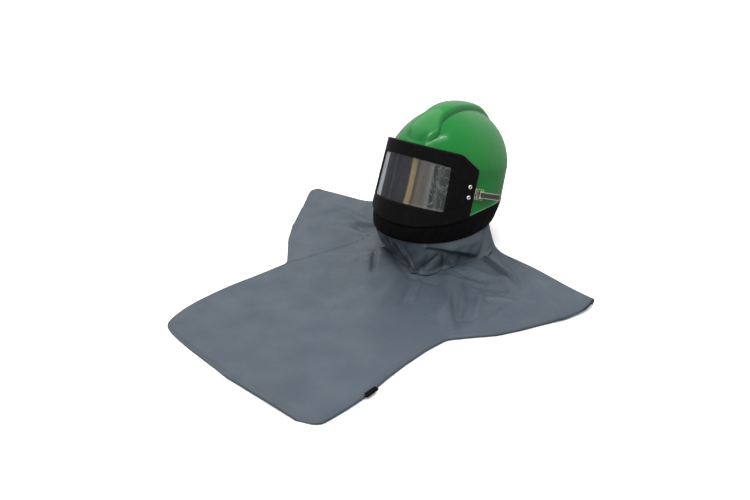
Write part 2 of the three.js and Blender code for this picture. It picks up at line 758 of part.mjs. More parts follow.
// Round wire along corners that are rounded by short curves
function wireGeometry(corners, bend) {
  const path = new THREE.CurvePath();
  let from = corners[0];
  for (let i = 1; i < corners.length; i++) {
    const to = corners[i];
    if (i === corners.length - 1) {
      path.add(new THREE.LineCurve3(from, to));
      break;
    }
    const before = to.clone().add(from.clone().sub(to).setLength(bend));
    const after = to.clone().add(corners[i + 1].clone().sub(to).setLength(bend));
    path.add(new THREE.LineCurve3(from, before));
    path.add(new THREE.QuadraticBezierCurve3(before, to, after));
    from = after;
  }
  const points = [];
  for (const curve of path.curves) {
    const steps = curve.isLineCurve3 ? 1 : 3;
    for (let i = points.length ? 1 : 0; i <= steps; i++) points.push(curve.getPoint(i / steps));
  }
  const sides = 8;
  const normal = new THREE.Plane().setFromCoplanarPoints(corners[0], corners[1], corners[2]).normal;
  const rings = points.map((point, i) => {
    const ahead = points[Math.min(i + 1, points.length - 1)];
    const behind = points[Math.max(i - 1, 0)];
    const along = ahead.clone().sub(behind).normalize();
    const across = along.clone().cross(normal).normalize();
    return Array.from({ length: sides }, (_, k) => {
      const angle = k / sides * 2 * Math.PI;
      return point.clone()
        .addScaledVector(normal, WIRE_RADIUS * Math.cos(angle))
        .addScaledVector(across, WIRE_RADIUS * Math.sin(angle));
    });
  });
  return ringStack(rings);
}

function bailGeometry() {
  const wire = crossWire();
  const eye = vec(pinHeight - BAIL_DROP, BAIL_ARM, 0);
  const inner = leverHalf - LEVER_SHEET;
  const corners = [];
  for (const [point, z] of [[eye, inner], [eye, BAIL_HALF_WIDTH], [wire, BAIL_HALF_WIDTH],
    [wire, -BAIL_HALF_WIDTH], [eye, -BAIL_HALF_WIDTH], [eye, -inner]]) {
    corners.push(vec(point.x, point.y, z));
  }
  return wireGeometry(corners, BAIL_BEND);
}

// Hinge pieces, in the helmet's frame

function knuckle(from, to) {
  return solidOf(post(HINGE_BARREL, from, to, 0, 0), hingeFrame);
}

function hingeBore() {
  return solidOf(post(HINGE_PIN_RADIUS + SEAT_GAP, -40, 40, 0, 0, 16), hingeFrame);
}

function hingeShellLeafGeometry() {
  const end = HINGE_SHELL_KNUCKLE;
  const start = HINGE_FRAME_KNUCKLE + RUNNING_GAP;
  const region = box(vec(-4, 0, -end), vec(40, HINGE_SHELL_LEAF, end));
  const slot = box(vec(-8, -8, -start), vec(8, HINGE_BARREL + RUNNING_GAP, start));
  const leaf = stripOnShell(region, SEAT_GAP, HINGE_LEAF_SHEET + 0.2, hingeFrame)
    .add(knuckle(-end, -start)).add(knuckle(start, end))
    .subtract(solidOf(slot, hingeFrame)).subtract(hingeBore());
  return meshGeometry(leaf);
}

function hingeFrameLeafGeometry() {
  const end = HINGE_FRAME_KNUCKLE;
  const region = solidOf(box(vec(-12, -HINGE_FRAME_LEAF, -end), vec(30, 0, end)), hingeFrame);
  const leaf = region.intersect(frameBody(SEAT_GAP + HINGE_LEAF_SHEET)).subtract(frameBody(SEAT_GAP));
  return meshGeometry(leaf.add(knuckle(-end, end)).subtract(hingeBore()).subtract(rivetHoles()));
}

function hingePinGeometry() {
  const end = HINGE_SHELL_KNUCKLE + 0.6;
  return post(HINGE_PIN_RADIUS, -end, end, 0, 0, 16);
}

// Seal

function sealFoot(angle) {
  return SEAL_FOOT + SEAL_FOOT_SLOPE * onShell(angle, 0).y;
}

function sealGeometry() {
  return ringStack(roundAngles().map((angle) => {
    const top = lowerEdge(angle) - SEAT_GAP;
    const foot = sealFoot(angle);
    return SEAL_SECTION.map(({ down, out }) => onShell(angle, top + (foot - top) * down, SEAL_THICKNESS * out));
  }), true);
}

// Collar, from the seal's foot down to the back panel of the cape

const helmetMatrix = new THREE.Matrix4()
  .makeRotationFromEuler(new THREE.Euler(-HELMET_LEAN, 0, HELMET_TURN, 'ZYX'))
  .setPosition(HELMET_AT);

function collarRing(share, grow) {
  return roundAngles().map((angle) => {
    const top = onShell(angle, sealFoot(angle) - SEAT_GAP, -COLLAR_TOP_INSET + grow).applyMatrix4(helmetMatrix);
    const turn = Math.atan2(Math.sin(angle), Math.cos(angle)) / DEG;
    const reach = COLLAR_RADIUS * lookUp(COLLAR_FOOT, 'at', 'reach', turn) + grow;
    const foot = vec(Math.sin(angle), -Math.cos(angle), 0).multiplyScalar(reach).add(COLLAR_CENTRE);
    foot.z = CAPE_BACK + RUNNING_GAP;
    const ripple = COLLAR_RIPPLE * Math.sin(COLLAR_RIPPLES * angle) * Math.sin(Math.PI * share);
    const point = top.lerp(foot, share);
    const away = vec(Math.sin(angle), -Math.cos(angle), 0);
    return point.addScaledVector(away, ripple);
  });
}

function collarGeometry() {
  const outer = COLLAR_ROWS.map((share) => collarRing(share, 0));
  const inner = COLLAR_ROWS.map((share) => collarRing(share, -CLOTH)).reverse();
  return ringStack([...outer, ...inner], true);
}

// Cape

// Height that the folds and creases add to the flat cloth
function clothRise(x, y) {
  const from = -y / CAPE_LENGTH;
  let rise = 0;
  for (const crease of CAPE_CREASES) {
    const dx = x - crease.x * CAPE_HALF_WIDTH;
    const dy = (crease.from - from) * CAPE_LENGTH;
    const turn = crease.turn * DEG;
    const along = (dx * Math.cos(turn) + dy * Math.sin(turn)) / (crease.long * CAPE_HALF_WIDTH);
    const across = (dy * Math.cos(turn) - dx * Math.sin(turn)) / (crease.wide * CAPE_HALF_WIDTH);
    rise += CREASE_HEIGHT * crease.high * Math.exp(-(along ** 4) - across ** 2);
  }
  const neck = Math.hypot(x - COLLAR_CENTRE.x, y - COLLAR_CENTRE.y) - COLLAR_RADIUS;
  return rise + NECK_RISE * Math.exp(-((Math.max(neck, 0) / NECK_RISE_REACH) ** 2));
}

function foldRadius(across) {
  return FOLD_RADIUS * lookUp(CAPE_FOLD, 'across', 'radius', across);
}

function capeRows() {
  const upper = [];
  const lower = [];
  const seat = CAPE_BACK + RUNNING_GAP;
  const columns = spread(0, 1, CAPE_COLUMNS);
  for (const { from, left, right } of CAPE_SIDES) {
    upper.push(columns.map((across) => {
      const x = CAPE_HALF_WIDTH * (left + (right - left) * across);
      const back = CAPE_LENGTH * lookUp(CAPE_FOLD, 'across', 'back', across) * (1 - from) ** 4;
      const y = -CAPE_LENGTH * from + back;
      const nearFold = clamp(1 - from * CAPE_LENGTH / FOLD_REACH, 0, 1);
      const ramp = nearFold * nearFold * (3 - 2 * nearFold);
      const flat = seat + CLOTH;
      const roll = seat + 2 * foldRadius(across);
      const free = clothRise(x, y) * (1 - ramp);
      return vec(x, y, flat + (roll - flat) * ramp + free);
    }));
    lower.push(upper.at(-1).map((p) => vec(p.x, p.y, p.z - CLOTH)));
  }
  const crest = upper.at(-1);
  for (let i = 1; i <= CAPE_CURL_STEPS; i++) {
    const turn = i / CAPE_CURL_STEPS * Math.PI;
    const curl = (less) => crest.map((p, j) => {
      const radius = foldRadius(columns[j]);
      const reach = radius - less;
      return vec(p.x, p.y + reach * Math.sin(turn), seat + radius + reach * Math.cos(turn));
    });
    upper.push(curl(0));
    lower.push(curl(CLOTH));
  }
  return { upper, lower };
}

function capeFrontGeometry() {
  const { upper, lower } = capeRows();
  const neck = ringStack([...COLLAR_ROWS].map((share) => collarRing(share, SEAT_GAP)));
  return meshGeometry(solidOf(sheetBetween(upper, lower)).subtract(solidOf(neck)));
}

function capeBackGeometry() {
  const side = (column) => CAPE_SIDES.map((row) => new THREE.Vector2(
    row[column] * CAPE_HALF_WIDTH, -row.from * CAPE_LENGTH));
  const fold = spread(0.06, 0.94, 18).map((across) => new THREE.Vector2(
    CAPE_HALF_WIDTH * (2 * across - 1),
    CAPE_LENGTH * lookUp(CAPE_FOLD, 'across', 'back', across) + foldRadius(across) / 2,
  ));
  const outline = new THREE.Shape([...side('left'), ...fold, ...side('right').reverse()]);
  return new THREE.ExtrudeGeometry(outline, { depth: CAPE_BACK, bevelEnabled: false });
}

function tagGeometry() {
  const y = -TAG_FROM * CAPE_LENGTH;
  const edge = CAPE_HALF_WIDTH * lookUp(CAPE_SIDES, 'from', 'right', TAG_FROM);
  const z = CAPE_BACK + RUNNING_GAP + CLOTH + SEAT_GAP;
  return box(
    vec(edge + TAG_OVERHANG - TAG_WIDTH, y - TAG_LENGTH / 2, z),
    vec(edge + TAG_OVERHANG, y + TAG_LENGTH / 2, z + TAG_SHEET),
  );
}

// Assembly

function piece(name, geometry, look) {
  const mesh = new THREE.Mesh(geometry, new THREE.MeshStandardMaterial(look));
  mesh.name = name;
  return mesh;
}

function groupAt(matrix, ...children) {
  const group = new THREE.Group();
  matrix.decompose(group.position, group.quaternion, group.scale);
  group.add(...children);
  return group;
}

const helmet = groupAt(
  helmetMatrix,
  piece('shell', shellGeometry(), GREEN),
  piece('visor_frame', frameGeometry(), BLACK_MOULDED),
  piece('window', windowGeometry(), CLEAR),
  piece('keeper', meshGeometry(keeperSolid()), STEEL),
  piece('latch_base', latchBaseGeometry(), STEEL),
  piece('hinge_shell_leaf', hingeShellLeafGeometry(), STEEL),
  piece('hinge_frame_leaf', hingeFrameLeafGeometry(), STEEL),
  piece('neck_seal', sealGeometry(), BLACK_PADDED),
  groupAt(
    latchFrame,
    piece('latch_pin', latchPinGeometry(), STEEL),
    piece('latch_lever', leverGeometry(), STEEL),
    piece('latch_bail', bailGeometry(), STEEL),
  ),
  groupAt(hingeFrame, piece('hinge_pin', hingePinGeometry(), STEEL)),
);

for (const [height, z] of Object.entries(RIVET_HEIGHTS)) {
  for (const [name, side, out] of [['near', 1, 0], ['far', -1, SEAT_GAP + HINGE_LEAF_SHEET]]) {
    const rivet = piece(`rivet_${name}_${height}`, rivetGeometry(out + PANE_RECESS), STEEL);
    helmet.add(groupAt(rivetMatrix(side, z, out), rivet));
  }
}

const hood = new THREE.Group();
hood.add(
  helmet,
  piece('collar', collarGeometry(), GREY_CLOTH),
  piece('cape_front', capeFrontGeometry(), GREY_CLOTH),
  piece('cape_back', capeBackGeometry(), GREY_CLOTH),
  piece('hem_tag', tagGeometry(), BLACK_PADDED),
);

export default hood;
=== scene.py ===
"""Sandblasting hood lying on its cape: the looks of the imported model, in its own frame."""

import bmesh
import bpy
import numpy as np
from mathutils import Matrix, Vector


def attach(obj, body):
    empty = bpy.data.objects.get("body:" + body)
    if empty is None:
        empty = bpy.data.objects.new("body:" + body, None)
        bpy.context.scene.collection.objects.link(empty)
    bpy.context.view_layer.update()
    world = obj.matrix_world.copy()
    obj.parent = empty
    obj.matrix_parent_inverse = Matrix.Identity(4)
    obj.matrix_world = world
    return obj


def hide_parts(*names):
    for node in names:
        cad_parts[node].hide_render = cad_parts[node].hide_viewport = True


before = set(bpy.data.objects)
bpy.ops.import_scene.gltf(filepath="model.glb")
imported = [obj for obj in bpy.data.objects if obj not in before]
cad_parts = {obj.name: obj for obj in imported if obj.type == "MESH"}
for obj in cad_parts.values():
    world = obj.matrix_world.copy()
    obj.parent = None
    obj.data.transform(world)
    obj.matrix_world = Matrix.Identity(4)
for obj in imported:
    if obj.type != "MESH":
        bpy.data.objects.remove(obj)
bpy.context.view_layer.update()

MM = 0.001
DEG = np.pi / 180

# Sizes in mm, the same as in the part's source. The helmet has a frame of its own, which leans
# back and is turned a little.
HELMET_AT = np.array([6.2, -14.0, 68.6])
HELMET_LEAN = 17.3 * DEG
HELMET_TURN = 7.5 * DEG

SHELL_HALF_WIDTH = 118.6
SHELL_NARROWING = 0.00058
SHELL_FRONT = 169.4
SHELL_FRONT_RAKE = 0.089
SHELL_REAR = 156.1
SHELL_REAR_RAKE = 0.115
SHELL_SQUARENESS = 2.16
SHELL_WALL = 4
CROWN_START = 123.0
CROWN_TOP = 237.0
CROWN_ROUND_ACROSS = 1.6
CROWN_ROUND_ALONG = 2.53
CROWN_SHIFT = 9.5
EDGE_RISE = 55.2
EDGE_TURN = 66 * DEG
EDGE_EASE = 50 * DEG

FRAME_HALF_WIDTH = 123.6
FRAME_FRONT = 174.4
FRAME_NARROWING = 0.00051
FRAME_TOP = 162.4
FRAME_TOP_SAG = 18.8
FRAME_CHAMFER_START = 49.3 * DEG
FRAME_CHAMFER_END = 68.8 * DEG
FRAME_CHAMFER_END_HEIGHT = 127
FRAME_REAR_FOOT = 65.6 * DEG
FACE_HALF_ANGLE = 57 * DEG
FACE_FRAME_LAP = 15

WINDOW_TOP = 135.4
WINDOW_TOP_SAG = 29
WINDOW_FOOT = 43.3
WINDOW_FOOT_SAG = 13.1
WINDOW_HALF_ANGLE = 40.25 * DEG
PANE_HALF_ANGLE = 42.2 * DEG
PANE_LAP = 4.7

RIVET_ANGLE = 60.7 * DEG
RIVET_HEIGHTS = {"upper": 94.1, "lower": 72.9}

COLLAR_CENTRE = np.array([20.0, -45.0])
COLLAR_RADIUS = 110
CAPE_LENGTH = 630
CAPE_HALF_WIDTH = 388
# The front panel lies on the back one at the seat, and its top is flat away from folds
CAPE_SEAT = 3.4
CAPE_FLAT = 5.9
CAPE_LIFT = 0.7
FOLD_LARGEST = 13
NECK_RISE = 12
NECK_RISE_REACH = 40
TAG_FROM = 0.793
TAG_HALF_LENGTH = 13.5
TAG_LEVEL = 6.9
# Stitches of the hem: distance from the edge, half widths of the line and of the sunk band round it, which
# is painted darker as shade, and the pitch
HEM_LINE = 9.5
HEM_THREAD = 0.55
HEM_GROOVE = 1.6
STITCH_PITCH = 3.6
STITCH_SHARE = 0.68


def turn_about(axis, angle):
    return np.array(Matrix.Rotation(angle, 3, axis))


HELMET = turn_about("Z", HELMET_TURN) @ turn_about("X", -HELMET_LEAN)


def to_row(points):
    """Points of the helmet's frame, in the row frame."""
    return np.asarray(points) @ HELMET.T + HELMET_AT


# Mesh helpers

def make(name, points, faces, material, body="hood", helmet=False):
    """Mesh object from points in mm, in the helmet's frame if helmet is true."""
    points = np.asarray(points, float).reshape(-1, 3)
    if helmet:
        points = to_row(points)
    mesh = bpy.data.meshes.new(name)
    mesh.from_pydata((points * MM).tolist(), [], faces)
    mesh.update()
    obj = bpy.data.objects.new(name, mesh)
    bpy.context.scene.collection.objects.link(obj)
    for face in mesh.polygons:
        face.use_smooth = True
    mesh.materials.append(material)
    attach(obj, body)
    return obj


def grid_faces(rows, columns, closed_rows=False, closed_columns=False, start=0):
    """Quads of a grid of points stored row by row."""
    faces = []
    for i in range(rows if closed_rows else rows - 1):
        for j in range(columns if closed_columns else columns - 1):
            a = start + i * columns + j
            b = start + i * columns + (j + 1) % columns
            c = start + (i + 1) % rows * columns + (j + 1) % columns
            d = start + (i + 1) % rows * columns + j
            faces.append((a, b, c, d))
    return faces


def fix_normals(obj):
    """Turns the faces of a closed mesh outwards."""
    work = bmesh.new()
    work.from_mesh(obj.data)
    bmesh.ops.recalc_face_normals(work, faces=work.faces)
    work.to_mesh(obj.data)
    work.free()


def thicken(obj, thickness):
    """Wall behind the faces of a sheet, in mm."""
    solid = obj.modifiers.new("thickness", "SOLIDIFY")
    solid.thickness = thickness * MM
    solid.offset = -1


def attribute(obj, name, values):
    data = obj.data.attributes.new(name, "FLOAT", "POINT")
    data.data.foreach_set("value", np.asarray(values, float).ravel())


def look_up(rows, place):
    """Linear value between the rows (place, value) of a table."""
    rows = np.array(rows, float)
    return np.interp(place, rows[:, 0], rows[:, 1])


def look_up_soft(rows, place, soften):
    """The same with its corners rounded over a distance."""
    offsets = np.linspace(-1, 1, 9) * soften
    return np.mean([look_up(rows, np.asarray(place) + o) for o in offsets], axis=0)


def smoothstep(low, high, value):
    t = np.clip((np.asarray(value) - low) / (high - low), 0, 1)
    return t * t * (3 - 2 * t)


# Shell surface, in the helmet's frame

def super_point(a, b, middle, n, angle, z):
    """Points of a superellipse with half width a and half length b, from the face at angle 0."""
    x, y = np.sin(angle), np.cos(angle)
    return np.stack(np.broadcast_arrays(
        a * np.sign(x) * np.abs(x) ** (2 / n),
        middle - b * np.sign(y) * np.abs(y) ** (2 / n),
        z), axis=-1)


def shell_section(z, out=0):
    """Half width, half length, middle and squareness of the shell at a height."""
    z = np.asarray(z, float)
    t = np.clip((z - CROWN_START) / (CROWN_TOP + out - CROWN_START), 0, 1)
    front = -SHELL_FRONT + SHELL_FRONT_RAKE * z
    rear = SHELL_REAR + SHELL_REAR_RAKE * z
    a = (SHELL_HALF_WIDTH * (1 - SHELL_NARROWING * z) + out) * np.sqrt(1 - t ** CROWN_ROUND_ACROSS)
    b = ((rear - front) / 2 + out) * np.sqrt(1 - t ** CROWN_ROUND_ALONG)
    middle = (rear + front) / 2 - CROWN_SHIFT * t * t
    return a, b, middle, SHELL_SQUARENESS - (SHELL_SQUARENESS - 2) * t


def on_shell(angle, z, out=0):
    return super_point(*shell_section(z, out), angle, z)


def crown_height(x, y, out=0):
    """Height of the shell over places (x, y), by halving."""
    x, y = np.broadcast_arrays(np.asarray(x, float), np.asarray(y, float))
    low = np.zeros(x.shape)
    high = np.full(x.shape, CROWN_TOP + out)
    for _ in range(40):
        z = (low + high) / 2
        a, b, middle, n = shell_section(z, out)
        with np.errstate(divide="ignore"):
            outside = np.abs(x / a) ** n + np.abs((y - middle) / b) ** n > 1
        high = np.where(outside, z, high)
        low = np.where(outside, low, z)
    return low


def lower_edge(angle):
    """Height of the shell's lower edge, which rises to the sides and eases to the nape."""
    turn = np.abs(np.arctan2(np.sin(angle), np.cos(angle)))
    t = np.clip((turn - EDGE_TURN) / EDGE_EASE, 0, 1)
    start = EDGE_RISE * (1 - np.cos(EDGE_TURN))
    far = start + EDGE_RISE * np.sin(EDGE_TURN) * EDGE_EASE / 2 * (2 * t - t * t)
    return np.where(turn <= EDGE_TURN, EDGE_RISE * (1 - np.cos(turn)), far)


def on_frame(angle, z, out=0):
    """Points of the visor frame's outer face."""
    taper = 1 - FRAME_NARROWING * np.asarray(z, float)
    half_width = FRAME_HALF_WIDTH * taper + out
    half_length = FRAME_FRONT * taper + out
    return super_point(half_width, half_length, 0, SHELL_SQUARENESS, angle, z)


def frame_arch(angle):
    turn = np.minimum(np.abs(angle), FRAME_CHAMFER_START)
    return FRAME_TOP - FRAME_TOP_SAG * (1 - np.cos(turn))


def frame_top(angle):
    """Height of the frame's upper edge, with its chamfered rear corners."""
    arch = frame_arch(angle)
    chamfer = FRAME_CHAMFER_END - FRAME_CHAMFER_START
    t = np.clip((np.abs(angle) - FRAME_CHAMFER_START) / chamfer, 0, 1)
    return arch + (FRAME_CHAMFER_END_HEIGHT - arch) * t


def window_top(angle):
    return WINDOW_TOP - WINDOW_TOP_SAG * (1 - np.cos(angle))


def window_foot(angle):
    return WINDOW_FOOT - WINDOW_FOOT_SAG * (1 - np.cos(angle))


# Middle of the lever at its pin, in m, and the pin's direction, which place the painted highlight along the
# lever's edges
LEVER_MIDDLE = (0.12343, -0.02754, 0.15974)
LEVER_ACROSS = (0.1126, -0.4038, -0.90789)


# Materials

class Paint:
    """A node material round one Principled shader."""

    def __init__(self, name, color, roughness, metallic=0.0, **inputs):
        self.material = bpy.data.materials.new(name)
        self.material.use_nodes = True
        self.tree = self.material.node_tree
        self.shader = self.tree.nodes["Principled BSDF"]
        self.shader.inputs["Base Color"].default_value = (*color, 1)
        self.shader.inputs["Roughness"].default_value = roughness
        self.shader.inputs["Metallic"].default_value = metallic
        for key, value in inputs.items():
            self.shader.inputs[key.replace("_", " ")].default_value = value
        self.place = self.node("ShaderNodeTexCoord").outputs["Object"]

    def node(self, kind, links=(), **settings):
        node = self.tree.nodes.new(kind)
        for key, value in settings.items():
            if hasattr(node, key):
                setattr(node, key, value)
            else:
                node.inputs[key.replace("_", " ")].default_value = value
        for key, source in dict(links).items():
            self.tree.links.new(source, node.inputs[key])
        return node

    def math(self, operation, *values):
        node = self.tree.nodes.new("ShaderNodeMath")
        node.operation = operation
        for socket, value in zip(node.inputs, values):
            if isinstance(value, (int, float)):
                socket.default_value = value
            else:
                self.tree.links.new(value, socket)
        return node.outputs[0]

    def noise(self, scale, detail=3.0, stretch=None, **settings):
        source = self.place
        if stretch:
            mapping = self.node("ShaderNodeMapping", {"Vector": self.place})
            mapping.inputs["Scale"].default_value = stretch
            source = mapping.outputs[0]
        node = self.node("ShaderNodeTexNoise", {"Vector": source}, Scale=scale, Detail=detail, **settings)
        return node.outputs["Fac"]

    def read(self, name):
        return self.node("ShaderNodeAttribute", attribute_name=name).outputs["Fac"]

    def ramp(self, source, stops):
        node = self.node("ShaderNodeValToRGB", {"Fac": source})
        elements = node.color_ramp.elements
        while len(elements) < len(stops):
            elements.new(0.5)
        for element, (place, color) in zip(elements, stops):
            element.position = place
            element.color = (*color, 1)
        return node.outputs["Color"]

    def grey(self, source, low, high, start=0.0, end=1.0):
        node = self.node("ShaderNodeMapRange", {"Value": source})
        for key, value in zip(("From Min", "From Max", "To Min", "To Max"), (start, end, low, high)):
            node.inputs[key].default_value = value
        return node.outputs[0]

    def mix(self, factor, first, second):
        node = self.tree.nodes.new("ShaderNodeMix")
        node.data_type = "RGBA"
        for key, value in (("Factor", factor), ("A", first), ("B", second)):
            socket = node.inputs[key]
            if isinstance(value, (int, float)):
                socket.default_value = value
            elif isinstance(value, tuple):
                socket.default_value = (*value, 1)
            else:
                self.tree.links.new(value, socket)
        return [o for o in node.outputs if o.type == "RGBA"][0]

    def color(self, source):
        self.tree.links.new(source, self.shader.inputs["Base Color"])
        return self

    def rough(self, source):
        self.tree.links.new(source, self.shader.inputs["Roughness"])
        return self

    def bump(self, *layers):
        """Bump from (height source, depth in mm) layers."""
        normal = None
        for source, depth in layers:
            links = {"Height": source}
            if normal:
                links["Normal"] = normal
            node = self.node("ShaderNodeBump", links)
            node.inputs["Strength"].default_value = 1.0
            node.inputs["Distance"].default_value = depth * MM
            normal = node.outputs[0]
        self.tree.links.new(normal, self.shader.inputs["Normal"])
        return self


def green_moulding():
    paint = Paint("green_moulding", (0.004, 0.15, 0.022), 0.2, IOR=1.3, Specular_IOR_Level=0.5)
    cloud = paint.noise(9, 4)
    base = paint.mix(cloud, (0.002, 0.133, 0.019), (0.004, 0.160, 0.024))
    # Painted shade: darker green along the foot of the crest's sides and under its step over the brow
    base = paint.mix(paint.math("MULTIPLY", paint.read("groove_and_shade"), 0.7), base, (0.001, 0.045, 0.009))
    # Painted highlight: a paler line along the bead of the shell's lower rim
    paint.color(paint.mix(paint.read("rim"), base, (0.09, 0.21, 0.11)))
    scuff = paint.noise(160, 6, (1, 0.35, 1))
    paint.rough(paint.grey(scuff, 0.13, 0.30, 0.35, 0.75))
    paint.bump((paint.noise(55, 2), 0.15), (paint.noise(420, 2), 0.03))
    return paint.material


def black_moulding():
    paint = Paint("black_moulding", (0.003, 0.003, 0.0035), 0.42, IOR=1.2, Specular_IOR_Level=0.3)
    dust = paint.noise(70, 8)
    dusty = paint.grey(dust, 0, 0.6, 0.5, 0.85)
    paint.color(paint.mix(dusty, (0.0026, 0.0026, 0.003), (0.008, 0.008, 0.008)))
    paint.rough(paint.grey(paint.noise(34, 5), 0.36, 0.6, 0.3, 0.7))
    paint.bump((paint.noise(900, 2), 0.05))
    return paint.material


def black_padding():
    paint = Paint("black_padding", (0.003, 0.003, 0.0035), 0.55, IOR=1.15, Specular_IOR_Level=0.2)
    paint.color(paint.mix(paint.noise(40, 6), (0.0024, 0.0024, 0.003), (0.0055, 0.0055, 0.006)))
    paint.rough(paint.grey(paint.noise(26, 4), 0.45, 0.72, 0.3, 0.7))
    paint.bump((paint.noise(42, 5, (1, 1, 2.2)), 1.2), (paint.noise(1400, 2), 0.08))
    return paint.material


def steel(name, base, roughness):
    paint = Paint(name, base, roughness, 0.6)
    mottle = paint.noise(230, 8)
    dark = tuple(c * 0.35 for c in base)
    paint.color(paint.mix(paint.grey(mottle, 0, 1, 0.38, 0.62), dark, base))
    paint.rough(paint.grey(mottle, roughness, roughness + 0.25, 0.3, 0.7))
    paint.bump((mottle, 0.06))
    return paint.material


def lever_steel():
    """Dull mottled steel, with a painted highlight along the pressed edges, from the place across the
    lever.
    """
    paint = Paint("lever_steel", (0.12, 0.11, 0.09), 0.4, 0.35)
    offset = paint.node("ShaderNodeVectorMath", {"Vector": paint.place}, operation="SUBTRACT")
    offset.inputs[1].default_value = LEVER_MIDDLE
    across = paint.node("ShaderNodeVectorMath", {0: offset.outputs[0]}, operation="DOT_PRODUCT")
    across.inputs[1].default_value = LEVER_ACROSS
    # Painted highlight: paler colour along both pressed edges of the lever
    edge = paint.grey(paint.math("ABSOLUTE", across.outputs["Value"]), 0, 1, 0.0046, 0.0056)
    mottle = paint.noise(520, 6)
    face = paint.mix(paint.grey(mottle, 0, 1, 0.4, 0.62), (0.010, 0.009, 0.006), (0.085, 0.078, 0.058))
    paint.color(paint.mix(edge, face, (0.55, 0.54, 0.46)))
    paint.bump((mottle, 0.1))
    return paint.material


def rivet_steel():
    paint = Paint("rivet_steel", (0.8, 0.8, 0.78), 0.3, 0.4)
    bright = paint.mix(paint.noise(600, 4), (0.62, 0.62, 0.6), (0.86, 0.86, 0.84))
    # Painted shade: the sunk centre of the head is painted almost black
    paint.color(paint.mix(paint.read("dimple_shade"), bright, (0.012, 0.012, 0.012)))
    return paint.material


def cape_cloth():
    paint = Paint("cape_cloth", (0.08, 0.104, 0.13), 0.48, Specular_IOR_Level=0.3)
    cloud = paint.noise(5, 5)
    base = paint.mix(paint.grey(cloud, 0, 1, 0.3, 0.7), (0.038, 0.051, 0.067), (0.045, 0.06, 0.078))
    # Painted shade: random cells near the neck are darkened a little, for the shading of rumpled cloth
    patch = paint.node("ShaderNodeTexVoronoi", {"Vector": paint.place}, Scale=15.0).outputs["Color"]
    patched = paint.math("MULTIPLY", paint.read("rumple_shade"), paint.grey(patch, 0, 0.3, 0.3, 0.8))
    base = paint.mix(patched, base, (0.035, 0.045, 0.055))
    # Painted shade: darker along the creases, and on the collar's top under the seal
    base = paint.mix(paint.math("MULTIPLY", paint.read("crease_shade"), 0.7), base, (0.013, 0.017, 0.022))
    hem = paint.read("hem")
    run = paint.read("run")
    pitch = paint.math("FRACT", paint.math("DIVIDE", run, STITCH_PITCH))
    dash = paint.math("LESS_THAN", pitch, STITCH_SHARE)
    line = paint.math("COMPARE", hem, HEM_LINE, HEM_THREAD)
    stitch = paint.math("MULTIPLY", line, dash)
    groove_and_shade = paint.math("COMPARE", hem, HEM_LINE, HEM_GROOVE)
    seam = paint.read("seam")
    # Painted shade: the sunk band round the hem's stitching is darkened
    dark = paint.mix(paint.math("MULTIPLY", groove_and_shade, 0.45), base, (0.028, 0.036, 0.046))
    dark = paint.mix(paint.math("MULTIPLY", seam, 0.85), dark, (0.014, 0.019, 0.025))
    paint.color(paint.mix(paint.math("MULTIPLY", stitch, 0.6), dark, (0.09, 0.107, 0.127)))
    paint.rough(paint.grey(paint.noise(18, 5), 0.42, 0.66, 0.3, 0.7))
    weave = []
    for stretch in ((1, 0.05, 0.05), (0.05, 1, 0.05)):
        mapping = paint.node("ShaderNodeMapping", {"Vector": paint.place})
        mapping.inputs["Scale"].default_value = stretch
        wave = paint.node("ShaderNodeTexWave", {"Vector": mapping.outputs[0]}, Scale=420.0, Distortion=0.4)
        weave.append(wave.outputs["Fac"])
    cloth = paint.math("MAXIMUM", *weave)
    fold = paint.math("LESS_THAN", hem, HEM_LINE + 1)
    ease = paint.math("SUBTRACT", fold, paint.math("MULTIPLY", groove_and_shade, 0.8))
    paint.bump((paint.noise(16, 6, Distortion=0.6), 2.2), (paint.noise(55, 4), 0.5), (ease, 0.5),
               (paint.math("SUBTRACT", 1, seam), 0.6), (cloth, 0.05))
    return paint.material


